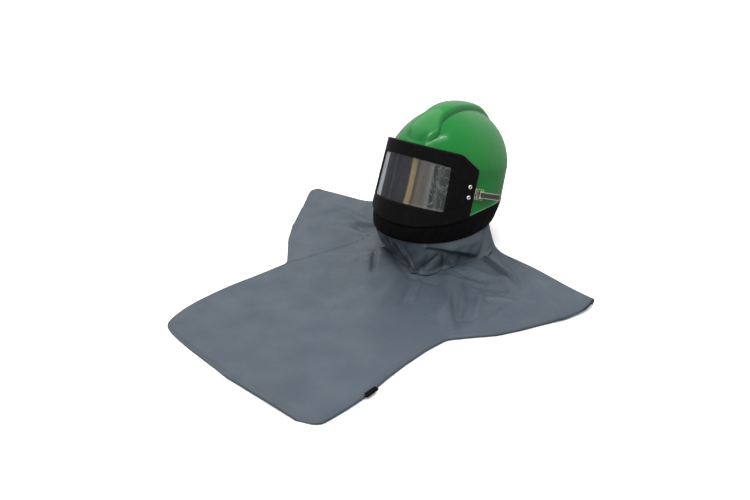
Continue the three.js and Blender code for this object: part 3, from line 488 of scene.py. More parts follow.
def clear_pane():
    # Painted reflection: the colour paints a reflected room in stripes across the pane, with streaks, fine
    # dark lines, glints on the film's crinkles and a pale line at the film's edge
    paint = Paint("clear_pane", (0.2, 0.2, 0.2), 0.1, Specular_IOR_Level=0.3)
    turn = paint.read("turn")
    wander = paint.math("MULTIPLY", paint.math("SUBTRACT", paint.noise(14, 3), 0.5), 0.05)
    place = paint.math("ADD", turn, wander)
    reflection_bands = paint.ramp(place, [
        (0.0, (0.38, 0.40, 0.44)), (0.150, (0.33, 0.35, 0.38)), (0.175, (0.010, 0.011, 0.015)),
        (0.31, (0.012, 0.013, 0.019)), (0.335, (0.036, 0.036, 0.045)), (0.36, (0.012, 0.013, 0.020)),
        (0.45, (0.022, 0.023, 0.032)), (0.525, (0.026, 0.025, 0.028)), (0.545, (0.27, 0.20, 0.10)),
        (0.585, (0.19, 0.15, 0.08)), (0.60, (0.05, 0.045, 0.038)), (0.645, (0.11, 0.10, 0.085)),
        (0.725, (0.09, 0.09, 0.085)), (0.78, (0.16, 0.16, 0.155)), (0.80, (0.025, 0.03, 0.033)),
        (0.84, (0.035, 0.04, 0.042)), (0.86, (0.09, 0.095, 0.09)), (0.89, (0.038, 0.043, 0.042)),
        (1.0, (0.035, 0.042, 0.040))])
    streak = paint.noise(46, 5, (1, 1, 0.1))
    film = paint.noise(30, 5, (1, 1, 0.75), Distortion=2.6)
    crest = paint.math("SUBTRACT", 1, paint.math("ABSOLUTE", paint.math("SUBTRACT", film, 0.5)))
    # Painted glints on the ridges of the film's crinkles
    curl = paint.grey(crest, 0, 0.8, 0.965, 0.998)
    crinkle_glint = paint.math("MULTIPLY", curl, paint.grey(turn, 0, 0.7, 0.74, 0.82))
    streaked = paint.mix(paint.grey(streak, 0, 0.3, 0.5, 0.7), reflection_bands, (0.045, 0.048, 0.055))
    close = paint.math("MULTIPLY", place, 75)
    fine = paint.node("ShaderNodeTexNoise", {"W": close}, noise_dimensions="1D", Detail=3.0)
    lines = paint.grey(fine.outputs["Fac"], 0, 0.65, 0.5, 0.72)
    streaked = paint.mix(lines, streaked, (0.012, 0.012, 0.014))
    # Painted highlight: a pale line along the film's edge
    lined = paint.mix(paint.math("MULTIPLY", paint.read("edge"), 0.6), streaked, (0.22, 0.24, 0.22))
    paint.color(paint.mix(crinkle_glint, lined, (0.20, 0.22, 0.20)))
    paint.bump((film, 0.8), (streak, 0.5))
    paint.shader.inputs["Alpha"].default_value = 0.9
    return paint.material


def floor_material():
    paint = Paint("floor", (0.9, 0.9, 0.9), 0.6)
    paint.color(paint.mix(paint.noise(2, 2), (0.89, 0.89, 0.89), (0.91, 0.91, 0.91)))
    return paint.material


GREEN = green_moulding()
BLACK = black_moulding()
PADDING = black_padding()
PLATED = steel("plated_steel", (0.60, 0.58, 0.48), 0.45)
LEVER = lever_steel()
RIVET = rivet_steel()
CLOTH = cape_cloth()
PANE = clear_pane()


# Shell: one smooth moulding with its face opening, and the crest laid into it

# Bead at the lower rim: distance out from the shell and height over the rim
SHELL_BEAD = [(0.1, 2.45), (0.7, 2.2), (1.05, 1.6), (1.05, 0.9), (0.6, 0.3), (-0.2, 0.0), (-1.2, 0.0),
              (-2.8, 0.0), (-3.6, 0.35)]
# Rings of the bead whose colour is paler, a painted highlight along the rim
BEAD_HIGHLIGHT_RINGS = 4


def shell_piece():
    columns = 180
    angles = np.arange(columns) / columns * 2 * np.pi
    rings = []

    def crown(out, steps):
        for i in range(steps, 0, -1):
            rise = (CROWN_TOP - CROWN_START + out) * np.sin(min(i / steps, 0.985) * np.pi / 2)
            yield on_shell(angles, CROWN_START + rise, out)

    def side(out, foot, steps):
        for i in range(steps + 1):
            yield on_shell(angles, CROWN_START + (foot - CROWN_START) * i / steps, out)

    foot = lower_edge(angles)
    rings += crown(0, 26)
    rings += side(0, foot + 2.8, 22)
    bead = len(rings)
    for out, lift in SHELL_BEAD:
        rings.append(on_shell(angles, foot + lift, out))
    inner = list(crown(-SHELL_WALL, 14)) + list(side(-SHELL_WALL, foot + 1.2, 10))
    rings += inner[::-1]
    points = np.array(rings)
    faces = grid_faces(len(rings), columns, closed_columns=True)
    count = len(points.reshape(-1, 3))
    ends = [points[0].mean(axis=0), points[-1].mean(axis=0)]
    last = (len(rings) - 1) * columns
    for j in range(columns):
        k = (j + 1) % columns
        faces.append((count, k, j))
        faces.append((count + 1, last + j, last + k))
    obj = make("shell_moulding", np.vstack([points.reshape(-1, 3), ends]), faces, GREEN, helmet=True)
    fix_normals(obj)
    # Painted highlight on these rings of the bead, through the rim attribute
    rim = np.zeros((len(rings), columns))
    rim[bead + 1:bead + 1 + BEAD_HIGHLIGHT_RINGS] = 1
    attribute(obj, "rim", np.append(rim.ravel(), (0, 0)))
    attribute(obj, "groove_and_shade", np.zeros(count + 2))

    cut_face_opening(obj)
    return obj


def cut_face_opening(obj):
    """Cuts the opening behind the visor frame, which laps over its edge."""
    count = 60
    spans = np.linspace(-FACE_HALF_ANGLE, FACE_HALF_ANGLE, count)
    low = lower_edge(spans) + FACE_FRAME_LAP
    high = frame_arch(spans) - FACE_FRAME_LAP
    before, behind = 10, -40
    block = np.stack([on_frame(spans, low, before), on_frame(spans, high, before),
                      on_frame(spans, high, behind), on_frame(spans, low, behind)], axis=1)
    last = 4 * count - 1
    ends = [(0, 1, 2, 3), (last, last - 1, last - 2, last - 3)]
    faces = grid_faces(count, 4, closed_columns=True) + ends
    cutter = make("face_cutter", block, faces, GREEN, helmet=True)
    fix_normals(cutter)
    cut = obj.modifiers.new("face", "BOOLEAN")
    cut.operation = "DIFFERENCE"
    cut.solver = "EXACT"
    cut.object = cutter
    bpy.context.view_layer.objects.active = obj
    bpy.context.view_layer.update()
    with bpy.context.temp_override(object=obj, active_object=obj):
        bpy.ops.object.modifier_apply(modifier=cut.name)
    bpy.data.objects.remove(cutter)


# Crest: half width and height in mm at places y along the helmet
CREST_WIDTH = [(-142, 23), (-131, 32), (-123, 32), (-113, 26.5), (-103, 22), (-60, 22), (110, 23),
               (150, 20)]
CREST_HEIGHT = [(-140, 7), (-125, 8), (-90, 11.4), (-50, 11.3), (-10, 10.5), (30, 10.6), (70, 12),
                (110, 7.4), (135, 4.7), (150, 2.5)]


def crest_piece():
    """A raised band with soft fillets at its sides and at its step over the brow."""
    across = np.linspace(-1, 1, 91)
    lengths = np.linspace(0, 1, 190)[:, None] ** 1.1
    brow_at, brow_bow, tail_at = -150, 9, 160
    start = brow_at + brow_bow * across ** 2
    y = start + (tail_at - start) * lengths
    width = look_up_soft(CREST_WIDTH, y, 7)
    x = across * (width + 9)
    slope = np.clip((np.abs(x) - width + 4) / 8.5, 0, 1)
    side = (1 - slope ** 2) ** 1.2
    brow = smoothstep(start, start + 14, y)
    tail = 1 - smoothstep(120, 157, y)
    height = look_up_soft(CREST_HEIGHT, y, 8) * (1 - 0.12 * np.minimum(np.abs(x) / width, 1) ** 2)
    rise = side * brow * tail
    points = np.stack([x, y, crown_height(x, y) + height * rise - 0.5 * (1 - rise) ** 6], axis=-1)
    obj = make("crest_band", points, grid_faces(190, 91), GREEN, helmet=True)
    attribute(obj, "rim", np.zeros(points.shape[:2]))
    # Painted shade: the colour is darkened along the foot of the sides and under the step over the brow
    ends = smoothstep(start + 3, start + 12, y) * tail
    foot = np.exp(-((slope - 0.85) / 0.3) ** 2) * ends
    under = np.exp(-((y - start - 4) / 4.5) ** 2) * (1 - smoothstep(0.7, 0.95, np.abs(across)))
    attribute(obj, "groove_and_shade", np.maximum(0.8 * foot, 0.4 * under))
    return obj


# Visor frame: rings between the window and the outline, rolled round both edges

def rounded_outline(corners, radii, samples):
    """Rounded corners of a closed outline, one row of points for each corner."""
    points = []
    count = len(corners)
    for i, corner in enumerate(corners):
        corner = np.array(corner, float)
        before = np.array(corners[i - 1], float) - corner
        after = np.array(corners[(i + 1) % count], float) - corner
        start = corner + before / np.linalg.norm(before) * radii[i]
        end = corner + after / np.linalg.norm(after) * radii[i]
        t = np.linspace(0, 1, samples)[:, None]
        points.append((1 - t) ** 2 * start + 2 * t * (1 - t) * corner + t * t * end)
    return points


def frame_piece():
    """The frame as rings of points, each a loop of places (angle times the reach, height)."""
    reach = FRAME_HALF_WIDTH
    steps = 44

    def loop(corners, radii, bows):
        arcs = rounded_outline(corners, radii, 9)
        points = []
        for i, arc in enumerate(arcs):
            points.append(arc)
            a, b = arc[-1], arcs[(i + 1) % len(arcs)][0]
            t = np.linspace(0, 1, steps + 2)[1:-1, None]
            line = a + (b - a) * t
            if bows[i]:
                level = bows[i](line[:, 0] / reach)
                base = bows[i](a[0] / reach) + (bows[i](b[0] / reach) - bows[i](a[0] / reach)) * t[:, 0]
                line[:, 1] += level - base
            points.append(line)
        return np.vstack(points)

    half = WINDOW_HALF_ANGLE * reach
    inner = loop(
        [(-half, window_foot(half / reach)), (-half, window_top(half / reach)),
         (-half * 0.5, window_top(half * 0.5 / reach)), (half * 0.5, window_top(half * 0.5 / reach)),
         (half, window_top(half / reach)), (half, window_foot(half / reach)),
         (half * 0.5, window_foot(half * 0.5 / reach)), (-half * 0.5, window_foot(half * 0.5 / reach))],
        [5, 5, 1, 1, 5, 5, 1, 1],
        [None, window_top, window_top, window_top, None, window_foot, window_foot, window_foot])
    foot = FRAME_REAR_FOOT * reach
    shoulder = FRAME_CHAMFER_START * reach
    corner = FRAME_CHAMFER_END * reach
    rear_low = lower_edge(FRAME_REAR_FOOT)
    chin_low = lower_edge(FRAME_REAR_FOOT / 2)
    shoulder_high = frame_top(FRAME_CHAMFER_START)
    outer = loop(
        [(-foot, rear_low), (-corner, FRAME_CHAMFER_END_HEIGHT), (-shoulder, shoulder_high),
         (shoulder, shoulder_high), (corner, FRAME_CHAMFER_END_HEIGHT), (foot, rear_low),
         (foot * 0.5, chin_low), (-foot * 0.5, chin_low)],
        [4, 4, 6, 6, 4, 4, 1, 1],
        [None, None, frame_top, None, None, lower_edge, lower_edge, lower_edge])

    def ring(share, out):
        flat = inner + (outer - inner) * share
        return on_frame(flat[:, 0] / reach, flat[:, 1], out)

    def back(share):
        flat = inner + (outer - inner) * share
        angle = flat[:, 0] / reach
        near = on_shell(angle, flat[:, 1], 0.6)
        deep = on_frame(angle, flat[:, 1], -16)
        front = on_frame(angle, flat[:, 1], -1.0)
        gap = np.linalg.norm(near[:, :2] - front[:, :2], axis=1)
        point = np.where((gap > 16)[:, None], deep, near)
        return np.where((gap < 1.5)[:, None], on_frame(angle, flat[:, 1], -2.5), point)

    rings = [back(0.0)]
    for out, share in ((-4.0, 0.0), (-2.2, 0.0), (-0.9, 0.004), (-0.25, 0.016)):
        rings.append(ring(share, out))
    for share in np.linspace(0.035, 0.965, 12):
        rings.append(ring(share, 0))
    for out, share in ((-0.3, 0.985), (-1.0, 0.997), (-2.2, 1.0)):
        rings.append(ring(share, out))
    for share in (1.0, 0.6, 0.3):
        rings.append(back(share))
    points = np.array(rings)
    obj = make("visor_moulding", points, grid_faces(len(rings), points.shape[1], True, True), BLACK,
               body="visor", helmet=True)
    fix_normals(obj)
    return obj


def pane_piece():
    """The clear pane, with its angle as a share of its width in an attribute."""
    rows, columns = 30, 100
    count = rows * columns
    spans = np.linspace(-PANE_HALF_ANGLE, PANE_HALF_ANGLE, columns)
    shares = np.linspace(0, 1, rows)[:, None]
    low = window_foot(spans) - PANE_LAP
    high = window_top(spans) + PANE_LAP
    levels = low + (high - low) * shares
    front = on_frame(spans[None, :], levels, -2.6)
    rear = on_frame(spans[None, :], levels, -4.2)
    points = np.vstack([front.reshape(-1, 3), rear.reshape(-1, 3)])
    faces = grid_faces(rows, columns) + grid_faces(rows, columns, start=count)
    rim = list(range(columns)) + [i * columns + columns - 1 for i in range(1, rows)]
    rim += [count - columns + i for i in range(columns - 2, -1, -1)]
    rim += [i * columns for i in range(rows - 2, 0, -1)]
    for a, b in zip(rim, rim[1:] + rim[:1]):
        faces.append((a, b, b + count, a + count))
    obj = make("window_pane", points, faces, PANE, body="visor", helmet=True)
    fix_normals(obj)
    # The angle places the stripes of the painted reflection across the pane
    turn = np.linspace(0, 1, columns)
    attribute(obj, "turn", np.tile(turn, 2 * rows))
    # Place of the painted highlight along the film's edge
    film_edge = 5.6
    margin = np.minimum(levels - low, high - levels) - film_edge
    edge = (1 - smoothstep(0.4, 2.2, np.abs(margin))) * smoothstep(0.5, 0.7, turn)
    attribute(obj, "edge", np.tile(edge.ravel(), 2))
    return obj


# Rivet head: radius, height over the frame and how dark the painted shade in its sunk centre is there
RIVET_PROFILE = [(1.0, 0.75, 1.0), (1.8, 0.85, 1.0), (2.1, 1.5, 0.8), (2.4, 2.2, 0), (2.8, 2.4, 0),
                 (3.5, 2.1, 0), (4.05, 1.4, 0), (4.3, 0.4, 0), (4.3, 0.05, 0), (2.2, -0.1, 0)]


def rivet_piece(name, side, height):
    """Round rivet head with a sunk centre, seated on the frame."""
    columns = 28
    turn = side * RIVET_ANGLE
    at = on_frame(turn, height)
    right = on_frame(turn + 0.01, height) - at
    up = on_frame(turn, height + 1) - at
    out = np.cross(right, up)
    right, up, out = (v / np.linalg.norm(v) for v in (right, up, out))
    angles = np.arange(columns) / columns * 2 * np.pi
    ring = np.cos(angles)[:, None] * right + np.sin(angles)[:, None] * up
    points = np.array([at + ring * radius + out * level for radius, level, _ in RIVET_PROFILE])
    faces = grid_faces(len(RIVET_PROFILE), columns, closed_columns=True)
    count = len(RIVET_PROFILE) * columns
    faces += [tuple(range(columns)), tuple(range(count - columns, count))]
    obj = make("head_" + name, points, faces, RIVET, body="visor", helmet=True)
    fix_normals(obj)
    attribute(obj, "dimple_shade", np.repeat([dark for _, _, dark in RIVET_PROFILE], columns))
    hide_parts(name)


# Neck seal: a padded ring with a piped top and shallow puckers

# Section of the seal: share of the drop from the shell's edge, and distance out from the shell
SEAL_PROFILE = [(0.0, -0.5), (0.012, 1.0), (0.05, 1.9), (0.12, 2.0), (0.22, 1.5), (0.34, 0.6),
                (0.46, -0.6), (0.6, -2.4), (0.75, -4.6), (0.87, -6.6), (0.95, -8.6), (0.99, -11.0),
                (1.0, -14), (0.995, -18), (0.96, -22), (0.8, -23.2), (0.5, -20.5), (0.2, -17.5),
                (0.02, -15.2), (0.0, -8)]
SEAL_OUTSIDE = 12
SEAL_FOOT = -2.8
SEAL_FOOT_SLOPE = 0.18


def seal_foot(angle):
    """Height of the seal's underside, which slopes with the collar that it rests on."""
    return SEAL_FOOT + SEAL_FOOT_SLOPE * on_shell(angle, 0.0)[..., 1]


def seal_piece():
    columns = 260
    angles = np.arange(columns) / columns * 2 * np.pi
    top = lower_edge(angles) - 0.5
    foot = seal_foot(angles)
    turn = np.arctan2(np.sin(angles), np.cos(angles)) / DEG
    rings = []
    for i, (down, out) in enumerate(SEAL_PROFILE):
        inset = (1.5 + 4.5 * smoothstep(-35, -70, turn)) * (1 - smoothstep(0.5, 0.95, down))
        inset *= smoothstep(-12, -2, out) * smoothstep(180, 120, np.abs(turn))
        inset *= smoothstep(0.005, 0.05, down)
        pucker = 0.55 * np.sin(angles * 31 + 2.5 * np.sin(angles * 3)) + 0.45 * np.sin(angles * 53 + 1.2)
        pucker = pucker * np.exp(-((down - 0.55) / 0.25) ** 2) * (1 if i < SEAL_OUTSIDE else 0)
        sag = 1.2 * np.sin(angles * 5 + 0.7) * np.sin(np.pi * min(down, 1))
        rings.append(on_shell(angles, top + (foot - top) * down, out - inset + pucker * 0.8 + sag * 0.6))
    points = np.array(rings)
    obj = make("neck_padding", points, grid_faces(len(rings), columns, True, True), PADDING, helmet=True)
    fix_normals(obj)
    soft = obj.modifiers.new("smooth", "SUBSURF")
    soft.levels = soft.render_levels = 1
    return obj


# Collar and cape, in the row frame

# Radius of the collar's foot at an angle from the front, in degrees towards the wearer's left
COLLAR_FOOT = [(-180, 110), (-120, 104), (-60, 97), (-32, 94.5), (-6, 97), (14, 110), (24, 130), (34, 128),
               (47, 114), (63, 99), (81, 97), (97, 115), (120, 124), (150, 104), (180, 110)]
# Folds of the collar: the angle at the top and at the foot, the width in degrees, the height
# in mm and the share of the drop where the fold is highest
COLLAR_FOLDS = [
    (-46, -34, 5, 5, 0.6),
    (-30, -14, 4, 6, 0.6),
    (-9, 15, 5, -6, 0.75),
    (1, 25, 3.6, 9, 0.78),
    (32, 33, 6, 4, 0.88),
    (39, 26, 3.2, -6, 0.7),
    (47, 46, 3.6, -6, 0.85),
    (58, 61, 6, 5, 0.88),
    (70, 74, 4, -4, 0.9),
    (86, 84, 5, 4, 0.4),
    (97, 96, 4, -3, 0.5),
    (108, 106, 6, 4, 0.5),
    (140, 150, 8, 5, 0.5),
    (175, 178, 8, 5, 0.5),
    (-150, -140, 8, 5, 0.5),
    (-110, -105, 8, 5, 0.5),
    (-75, -62, 7, 5, 0.6),
]

# Side edges: share of the length from the shoulder fold, and left and right in half widths
CAPE_SIDES = [
    (1.0, 0.2, 0.5), (0.993, -0.06, 0.565), (0.981, -0.24, 0.605), (0.967, -0.4, 0.628),
    (0.945, -0.45, 0.634), (0.908, -0.474, 0.64), (0.86, -0.494, 0.645), (0.8, -0.503, 0.646),
    (0.72, -0.497, 0.632), (0.635, -0.482, 0.625), (0.54, -0.46, 0.628), (0.46, -0.443, 0.644),
    (0.4, -0.54, 0.72), (0.344, -0.633, 0.797), (0.272, -0.722, 0.86), (0.2, -0.8, 0.912),
    (0.13, -0.87, 0.968), (0.06, -0.94, 1.0), (0.035, -0.965, 1.006), (0.015, -0.968, 1.006),
    (0, -0.945, 1)]
# Shoulder fold at shares of the way across: how far back it lies, as a share of the length,
# and its radius as a share of the largest
FOLD_BACK = [
    (0, 0), (0.1, 0.02), (0.19, 0.03), (0.24, 0.075), (0.3, 0.125), (0.38, 0.16), (0.5, 0.17), (0.57, 0.15),
    (0.62, 0.085), (0.67, 0.033), (0.8, 0.026), (0.93, -0.004), (1, -0.022)]
FOLD_RADIUS = [
    (0, 0.28), (0.1, 0.34), (0.19, 0.45), (0.24, 0.6), (0.3, 0.8), (0.38, 0.9), (0.5, 0.95), (0.57, 0.95),
    (0.62, 0.7), (0.67, 0.52), (0.8, 0.44), (0.93, 0.42), (1, 0.55)]
# Creases of the cape: middle x and y in mm, turn in degrees, half length, half width, height
CAPE_CREASES = [
    (-39, -170, 60, 39, 27, 14.4),
    (-171, -57, -10, 93, 13.6, 8.8),
    (-140, -101, 12, 78, 15.5, 6.4),
    (182, -32, -24, 70, 19.4, 12),
    (159, -176, -58, 78, 13.6, 9.6),
    (202, -151, -40, 62, 19.4, 7.2),
    (70, -252, -80, 62, 19.4, 4.8),
    (-172, -78, -18, 52, 6.5, -7),
    (-110, -66, 20, 40, 6, -6),
    (-27, -178, -56, 30, 5, -6),
    (-32, -140, 50, 26, 5, -5),
    (-95, -190, 40, 62, 7, 4),
    (-60, -205, 52, 55, 6, -3.5),
    (-230, -60, -20, 70, 8, 3.5),
    (-250, -150, 25, 80, 10, 3),
    (-290, -70, 35, 60, 9, 2.5),
    (155, -93, 20, 34, 5, -5),
    (170, -68, 12, 40, 6, 4),
    (200, -222, -48, 58, 5, 5.5),
    (212, -214, -48, 52, 6, -5),
    (232, -170, -60, 44, 7, 4.5),
    (205, -100, 30, 40, 11, -5),
    (240, -120, 35, 42, 6, 3.5),
    (262, -95, 10, 48, 6, -3),
    (165, 14, -16, 60, 6, 4),
    (290, -40, -25, 70, 8, 2.5),
    (320, -75, -30, 60, 9, 2.5),
    (105, -200, -62, 44, 6, 4),
    (92, -215, -66, 44, 6, -3),
    (20, -330, 85, 90, 20, 1.6),
    (-90, -330, 70, 90, 22, 1.6),
    (120, -420, 60, 110, 24, 1.2),
    (-60, -520, 20, 110, 26, 1.0),
]
# Sharp creases near the neck: points in mm, depth in mm and how dark the painted shade along them is
CAPE_LINES = [
    ([(146, -35), (189, -46), (219, -51), (235, -55)], 0.8, 1.0),
    ([(187, -22), (228, -50), (252, -58)], 1.2, 0.5),
    ([(126, 26), (165, 21), (210, 5)], 2.0, 0.45),
    ([(110, -133), (130, -120), (160, -103), (191, -87)], 1.4, 0.6),
    ([(191, -87), (206, -119), (236, -147)], 1.2, 0.35),
    ([(159, -125), (205, -170), (229, -218)], 1.2, 0.4),
    ([(221, -239), (249, -219), (263, -193), (263, -142)], 1.2, 0.3),
    ([(170, -176), (210, -221), (246, -266)], -2.4, 0.0),
    ([(162, -184), (202, -228), (238, -270)], 1.6, 0.4),
    ([(-52, -155), (-30, -178), (-6, -203)], 1.6, 0.2),
    ([(-127, -64), (-178, -70), (-212, -54)], 1.6, 0.6),
    ([(13, -158), (67, -181), (99, -173), (129, -160)], 1.4, 0.5),
    ([(168, -5), (205, -16), (246, -48)], 1.2, 0.3),
    ([(-52, -132), (-56, -166), (-31, -181)], 1.6, 0.4),
    ([(-126, -114), (-100, -84)], 1.2, 0.35),
]
# Creases and ridges of the collar: points (angle in degrees, share of the drop), half width
# in mm, height in mm and how dark their painted shade is
COLLAR_LINES = [
    ([(3, 0.36), (8, 0.55), (14, 0.8), (20, 1.0)], 3.0, 6.0, 0.0),
    ([(-4, 0.40), (1, 0.6), (8, 0.82), (15, 1.0)], 3.0, -6.0, 0.8),
    ([(10, 0.36), (15, 0.55), (21, 0.75), (25, 0.95)], 3.0, -5.0, 0.5),
    ([(42, 0.45), (36, 0.6), (29, 0.8)], 2.6, -5.0, 0.7),
    ([(47, 0.5), (48, 0.75), (47, 1.0)], 2.4, -5.0, 0.6),
    ([(33, 0.22), (52, 0.34), (66, 0.52), (78, 0.72), (92, 0.92)], 3.2, -5.0, 0.9),
    ([(30, 0.16), (50, 0.26), (66, 0.44), (80, 0.62)], 4.0, 3.0, 0.0),
    ([(98, 0.25), (93, 0.55), (94, 0.85)], 3.0, -4.0, 0.6),
    ([(66, 0.62), (70, 0.8), (68, 0.98)], 2.6, -3.0, 0.4),
    ([(-14, 0.3), (-12, 0.6), (-6, 0.9)], 3.0, -5.0, 0.5),
    ([(-28, 0.3), (-24, 0.7), (-20, 0.95)], 3.0, -4.0, 0.5),
    ([(56, 0.68), (60, 0.95)], 2.4, 3.0, 0.0),
]
# Seams of the front panel, as points in mm
SEAMS = [[(-169, -295), (-157, -267), (-140, -215), (-127, -160), (-107, -90)],
         [(125, -20), (163, -33), (195, -40), (226, -47)]]
# Tucks: the cloth on the left of each line lies over the rest. Height and reach in mm.
CAPE_TUCKS = [
    ((228, -52), (146, -31), 6.5, 34),
    ((-118, -62), (-196, -80), 6, 40),
    ((-12, -200), (-42, -152), 2, 50),
]


def cape_rise(x, y):
    """Height that creases, tucks and the rise to the neck add to the flat cloth."""
    rise = np.zeros(np.shape(x))
    for path, depth, _ in CAPE_LINES:
        rise -= depth * np.exp(-distance_to_path(x, y, path) / 3.5)
    for (ax, ay), (bx, by), high, reach in CAPE_TUCKS:
        length = np.hypot(bx - ax, by - ay)
        along = ((x - ax) * (bx - ax) + (y - ay) * (by - ay)) / length ** 2
        over = ((x - ax) * (by - ay) - (y - ay) * (bx - ax)) / length
        ends = smoothstep(-0.15, 0.12, along) * (1 - smoothstep(0.88, 1.15, along))
        rise += high * ends * smoothstep(-1.8, 1.8, over) * (1 - smoothstep(0, reach, over))
    for cx, cy, turn, half, wide, high in CAPE_CREASES:
        dx, dy = x - cx, y - cy
        c, s = np.cos(turn * DEG), np.sin(turn * DEG)
        along, over = (dx * c + dy * s) / half, (dy * c - dx * s) / wide
        rise += high * np.exp(-along ** 4 - over ** 2)
    neck = np.hypot(x - COLLAR_CENTRE[0], y - COLLAR_CENTRE[1]) - COLLAR_RADIUS
    return rise + NECK_RISE * np.exp(-(np.maximum(neck, 0) / NECK_RISE_REACH) ** 2)


def cape_sides(place):
    """Left and right edges in mm at shares of the length."""
    soft = 0.012
    left = look_up_soft([(start, edge) for start, edge, _ in CAPE_SIDES[::-1]], place, soft)
    right = look_up_soft([(start, edge) for start, _, edge in CAPE_SIDES[::-1]], place, soft)
    return CAPE_HALF_WIDTH * left, CAPE_HALF_WIDTH * right


def fold_back(across):
    return CAPE_LENGTH * look_up_soft(FOLD_BACK, across, 0.03)


def fold_radius(across):
    return FOLD_LARGEST * look_up_soft(FOLD_RADIUS, across, 0.03)


def hem_distance(place, x):
    """Distance from the side and front edges, square to an edge that slants."""
    left, right = cape_sides(place)
    along = np.gradient(-CAPE_LENGTH * place[:, 0])[:, None]
    left_slant = np.gradient(left[:, 0])[:, None] / along
    right_slant = np.gradient(right[:, 0])[:, None] / along
    from_left = (x - left) / np.sqrt(1 + left_slant ** 2)
    from_right = (right - x) / np.sqrt(1 + right_slant ** 2)
    from_front = np.broadcast_to((1 - place) * CAPE_LENGTH, x.shape)
    return np.minimum.reduce([from_left, from_right, from_front])


def cape_surface(place, across):
    """Points of the front panel's top, with place counted from the shoulder fold."""
    left, right = cape_sides(place)
    x = left + (right - left) * across
    y = -CAPE_LENGTH * place + fold_back(across) * (1 - place) ** 4
    fold_reach = 60
    near = np.clip(1 - place * CAPE_LENGTH / fold_reach, 0, 1)
    ramp = near * near * (3 - 2 * near)
    roll = CAPE_SEAT + 2 * fold_radius(across)
    ripple = 0.7 * np.sin(x / 31 + 1.7 * np.sin(y / 67)) * np.sin(y / 43 + 0.6)
    free = cape_rise(x, y) + ripple + CAPE_LIFT
    return x, y, CAPE_FLAT + (roll - CAPE_FLAT) * ramp + free * (1 - ramp)


def foot_radius(angle):
    turn = np.arctan2(np.sin(angle), np.cos(angle)) / DEG
    return look_up_soft(COLLAR_FOOT, turn, 5)


def distance_to_path(x, y, path):
    best = np.full(np.shape(x), 1e9)
    for (ax, ay), (bx, by) in zip(path, path[1:]):
        length = np.hypot(bx - ax, by - ay)
        t = np.clip(((x - ax) * (bx - ax) + (y - ay) * (by - ay)) / length ** 2, 0, 1)
        best = np.minimum(best, np.hypot(x - ax - t * (bx - ax), y - ay - t * (by - ay)))
    return best


def cape_front_piece():
    """The front panel, with closer columns near the neck, and the curl of the shoulder fold."""
    rows, columns, curl_rows = 210, 190, 12
    place = np.linspace(1, 0, rows)[:, None] ** 1.3
    even = np.linspace(0, 1, 2001)
    density = 1 + 2 * smoothstep(0.34, 0.42, even) * (1 - smoothstep(0.84, 0.92, even))
    spread = np.append(0, np.cumsum(density[1:]))
    across = np.interp(np.linspace(0, 1, columns), spread / spread[-1], even)[None, :]
    x, y, z = cape_surface(place, across)
    hem = hem_distance(place, x)
    droop, droop_reach = 3.2, 10
    z = z - droop * (1 - smoothstep(0, droop_reach, hem)) * smoothstep(0.06, 0.14, place)
    radius = fold_radius(across)[0]
    curls = []
    for i in range(1, curl_rows + 1):
        turn = i / curl_rows * np.pi
        level = CAPE_SEAT + radius + radius * np.cos(turn)
        curls.append(np.stack([x[-1], y[-1] + radius * np.sin(turn), level], axis=-1))
    points = np.concatenate([np.stack([x, y, z], axis=-1), np.array(curls)])
    faces = []
    keep_inside = 0.93
    middle = (points[:-1, :-1] + points[1:, 1:]) / 2
    dx, dy = middle[..., 0] - COLLAR_CENTRE[0], middle[..., 1] - COLLAR_CENTRE[1]
    hole = np.hypot(dx, dy) < keep_inside * foot_radius(np.arctan2(dx, -dy))
    for i, face in enumerate(grid_faces(rows + curl_rows, columns)):
        if not hole[i // (columns - 1), i % (columns - 1)]:
            faces.append(face)
    obj = make("cape_front_panel", points, faces, CLOTH)
    front_hem = 0.955
    run = np.where(place > front_hem, x, y)
    all_x, all_y = points[..., 0], points[..., 1]
    seam = np.min([distance_to_path(all_x, all_y, path) for path in SEAMS], axis=0)
    attribute(obj, "hem", np.concatenate([hem, np.repeat(hem[-1:], curl_rows, axis=0)]))
    attribute(obj, "run", np.concatenate([run, np.repeat(run[-1:], curl_rows, axis=0)]))
    attribute(obj, "seam", 1 - smoothstep(0.8, 3.0, seam))
    # Painted shade along the sharp creases near the neck
    shade = np.max([dark * np.exp(-(distance_to_path(all_x, all_y, path) / 3.2) ** 2)
                    for path, _, dark in CAPE_LINES], axis=0)
    neck = np.hypot(all_x - 70, (all_y + 110) * 0.9)
    attribute(obj, "crease_shade", shade)
    # Where the painted shade of rumpled cloth lies, near the neck
    attribute(obj, "rumple_shade", 1 - smoothstep(120, 250, neck))
    thicken(obj, 2.0)
    return obj


def cape_back_piece():
    """The back panel, which ends a little inside the front one."""
    rows, columns = 100, 60
    inset = 5
    level = 2.4
    place = np.linspace(1 - inset / CAPE_LENGTH, 0, rows)[:, None]
    across = np.linspace(0, 1, columns)[None, :]
    left, right = cape_sides(place)
    x = left + inset + (right - left - 2 * inset) * across
    under_fold = 7 / 13
    reach = fold_back(across) + under_fold * fold_radius(across)
    y = -CAPE_LENGTH * place + reach * (1 - place) ** 4
    z = level + 0.25 * np.sin(x / 40) * np.sin(y / 50)
    obj = make("cape_back_panel", np.stack([x, y, z], axis=-1), grid_faces(rows, columns), CLOTH)
    hem = hem_distance(place, x)
    attribute(obj, "hem", hem)
    attribute(obj, "run", y)
    for name in ("seam", "crease_shade", "rumple_shade"):
        attribute(obj, name, np.zeros(x.shape))
    thicken(obj, 2.0)
    return obj


def cape_level(x, y):
    """Height of the front panel's top at places beside the neck."""
    return CAPE_FLAT + CAPE_LIFT + cape_rise(x, y)


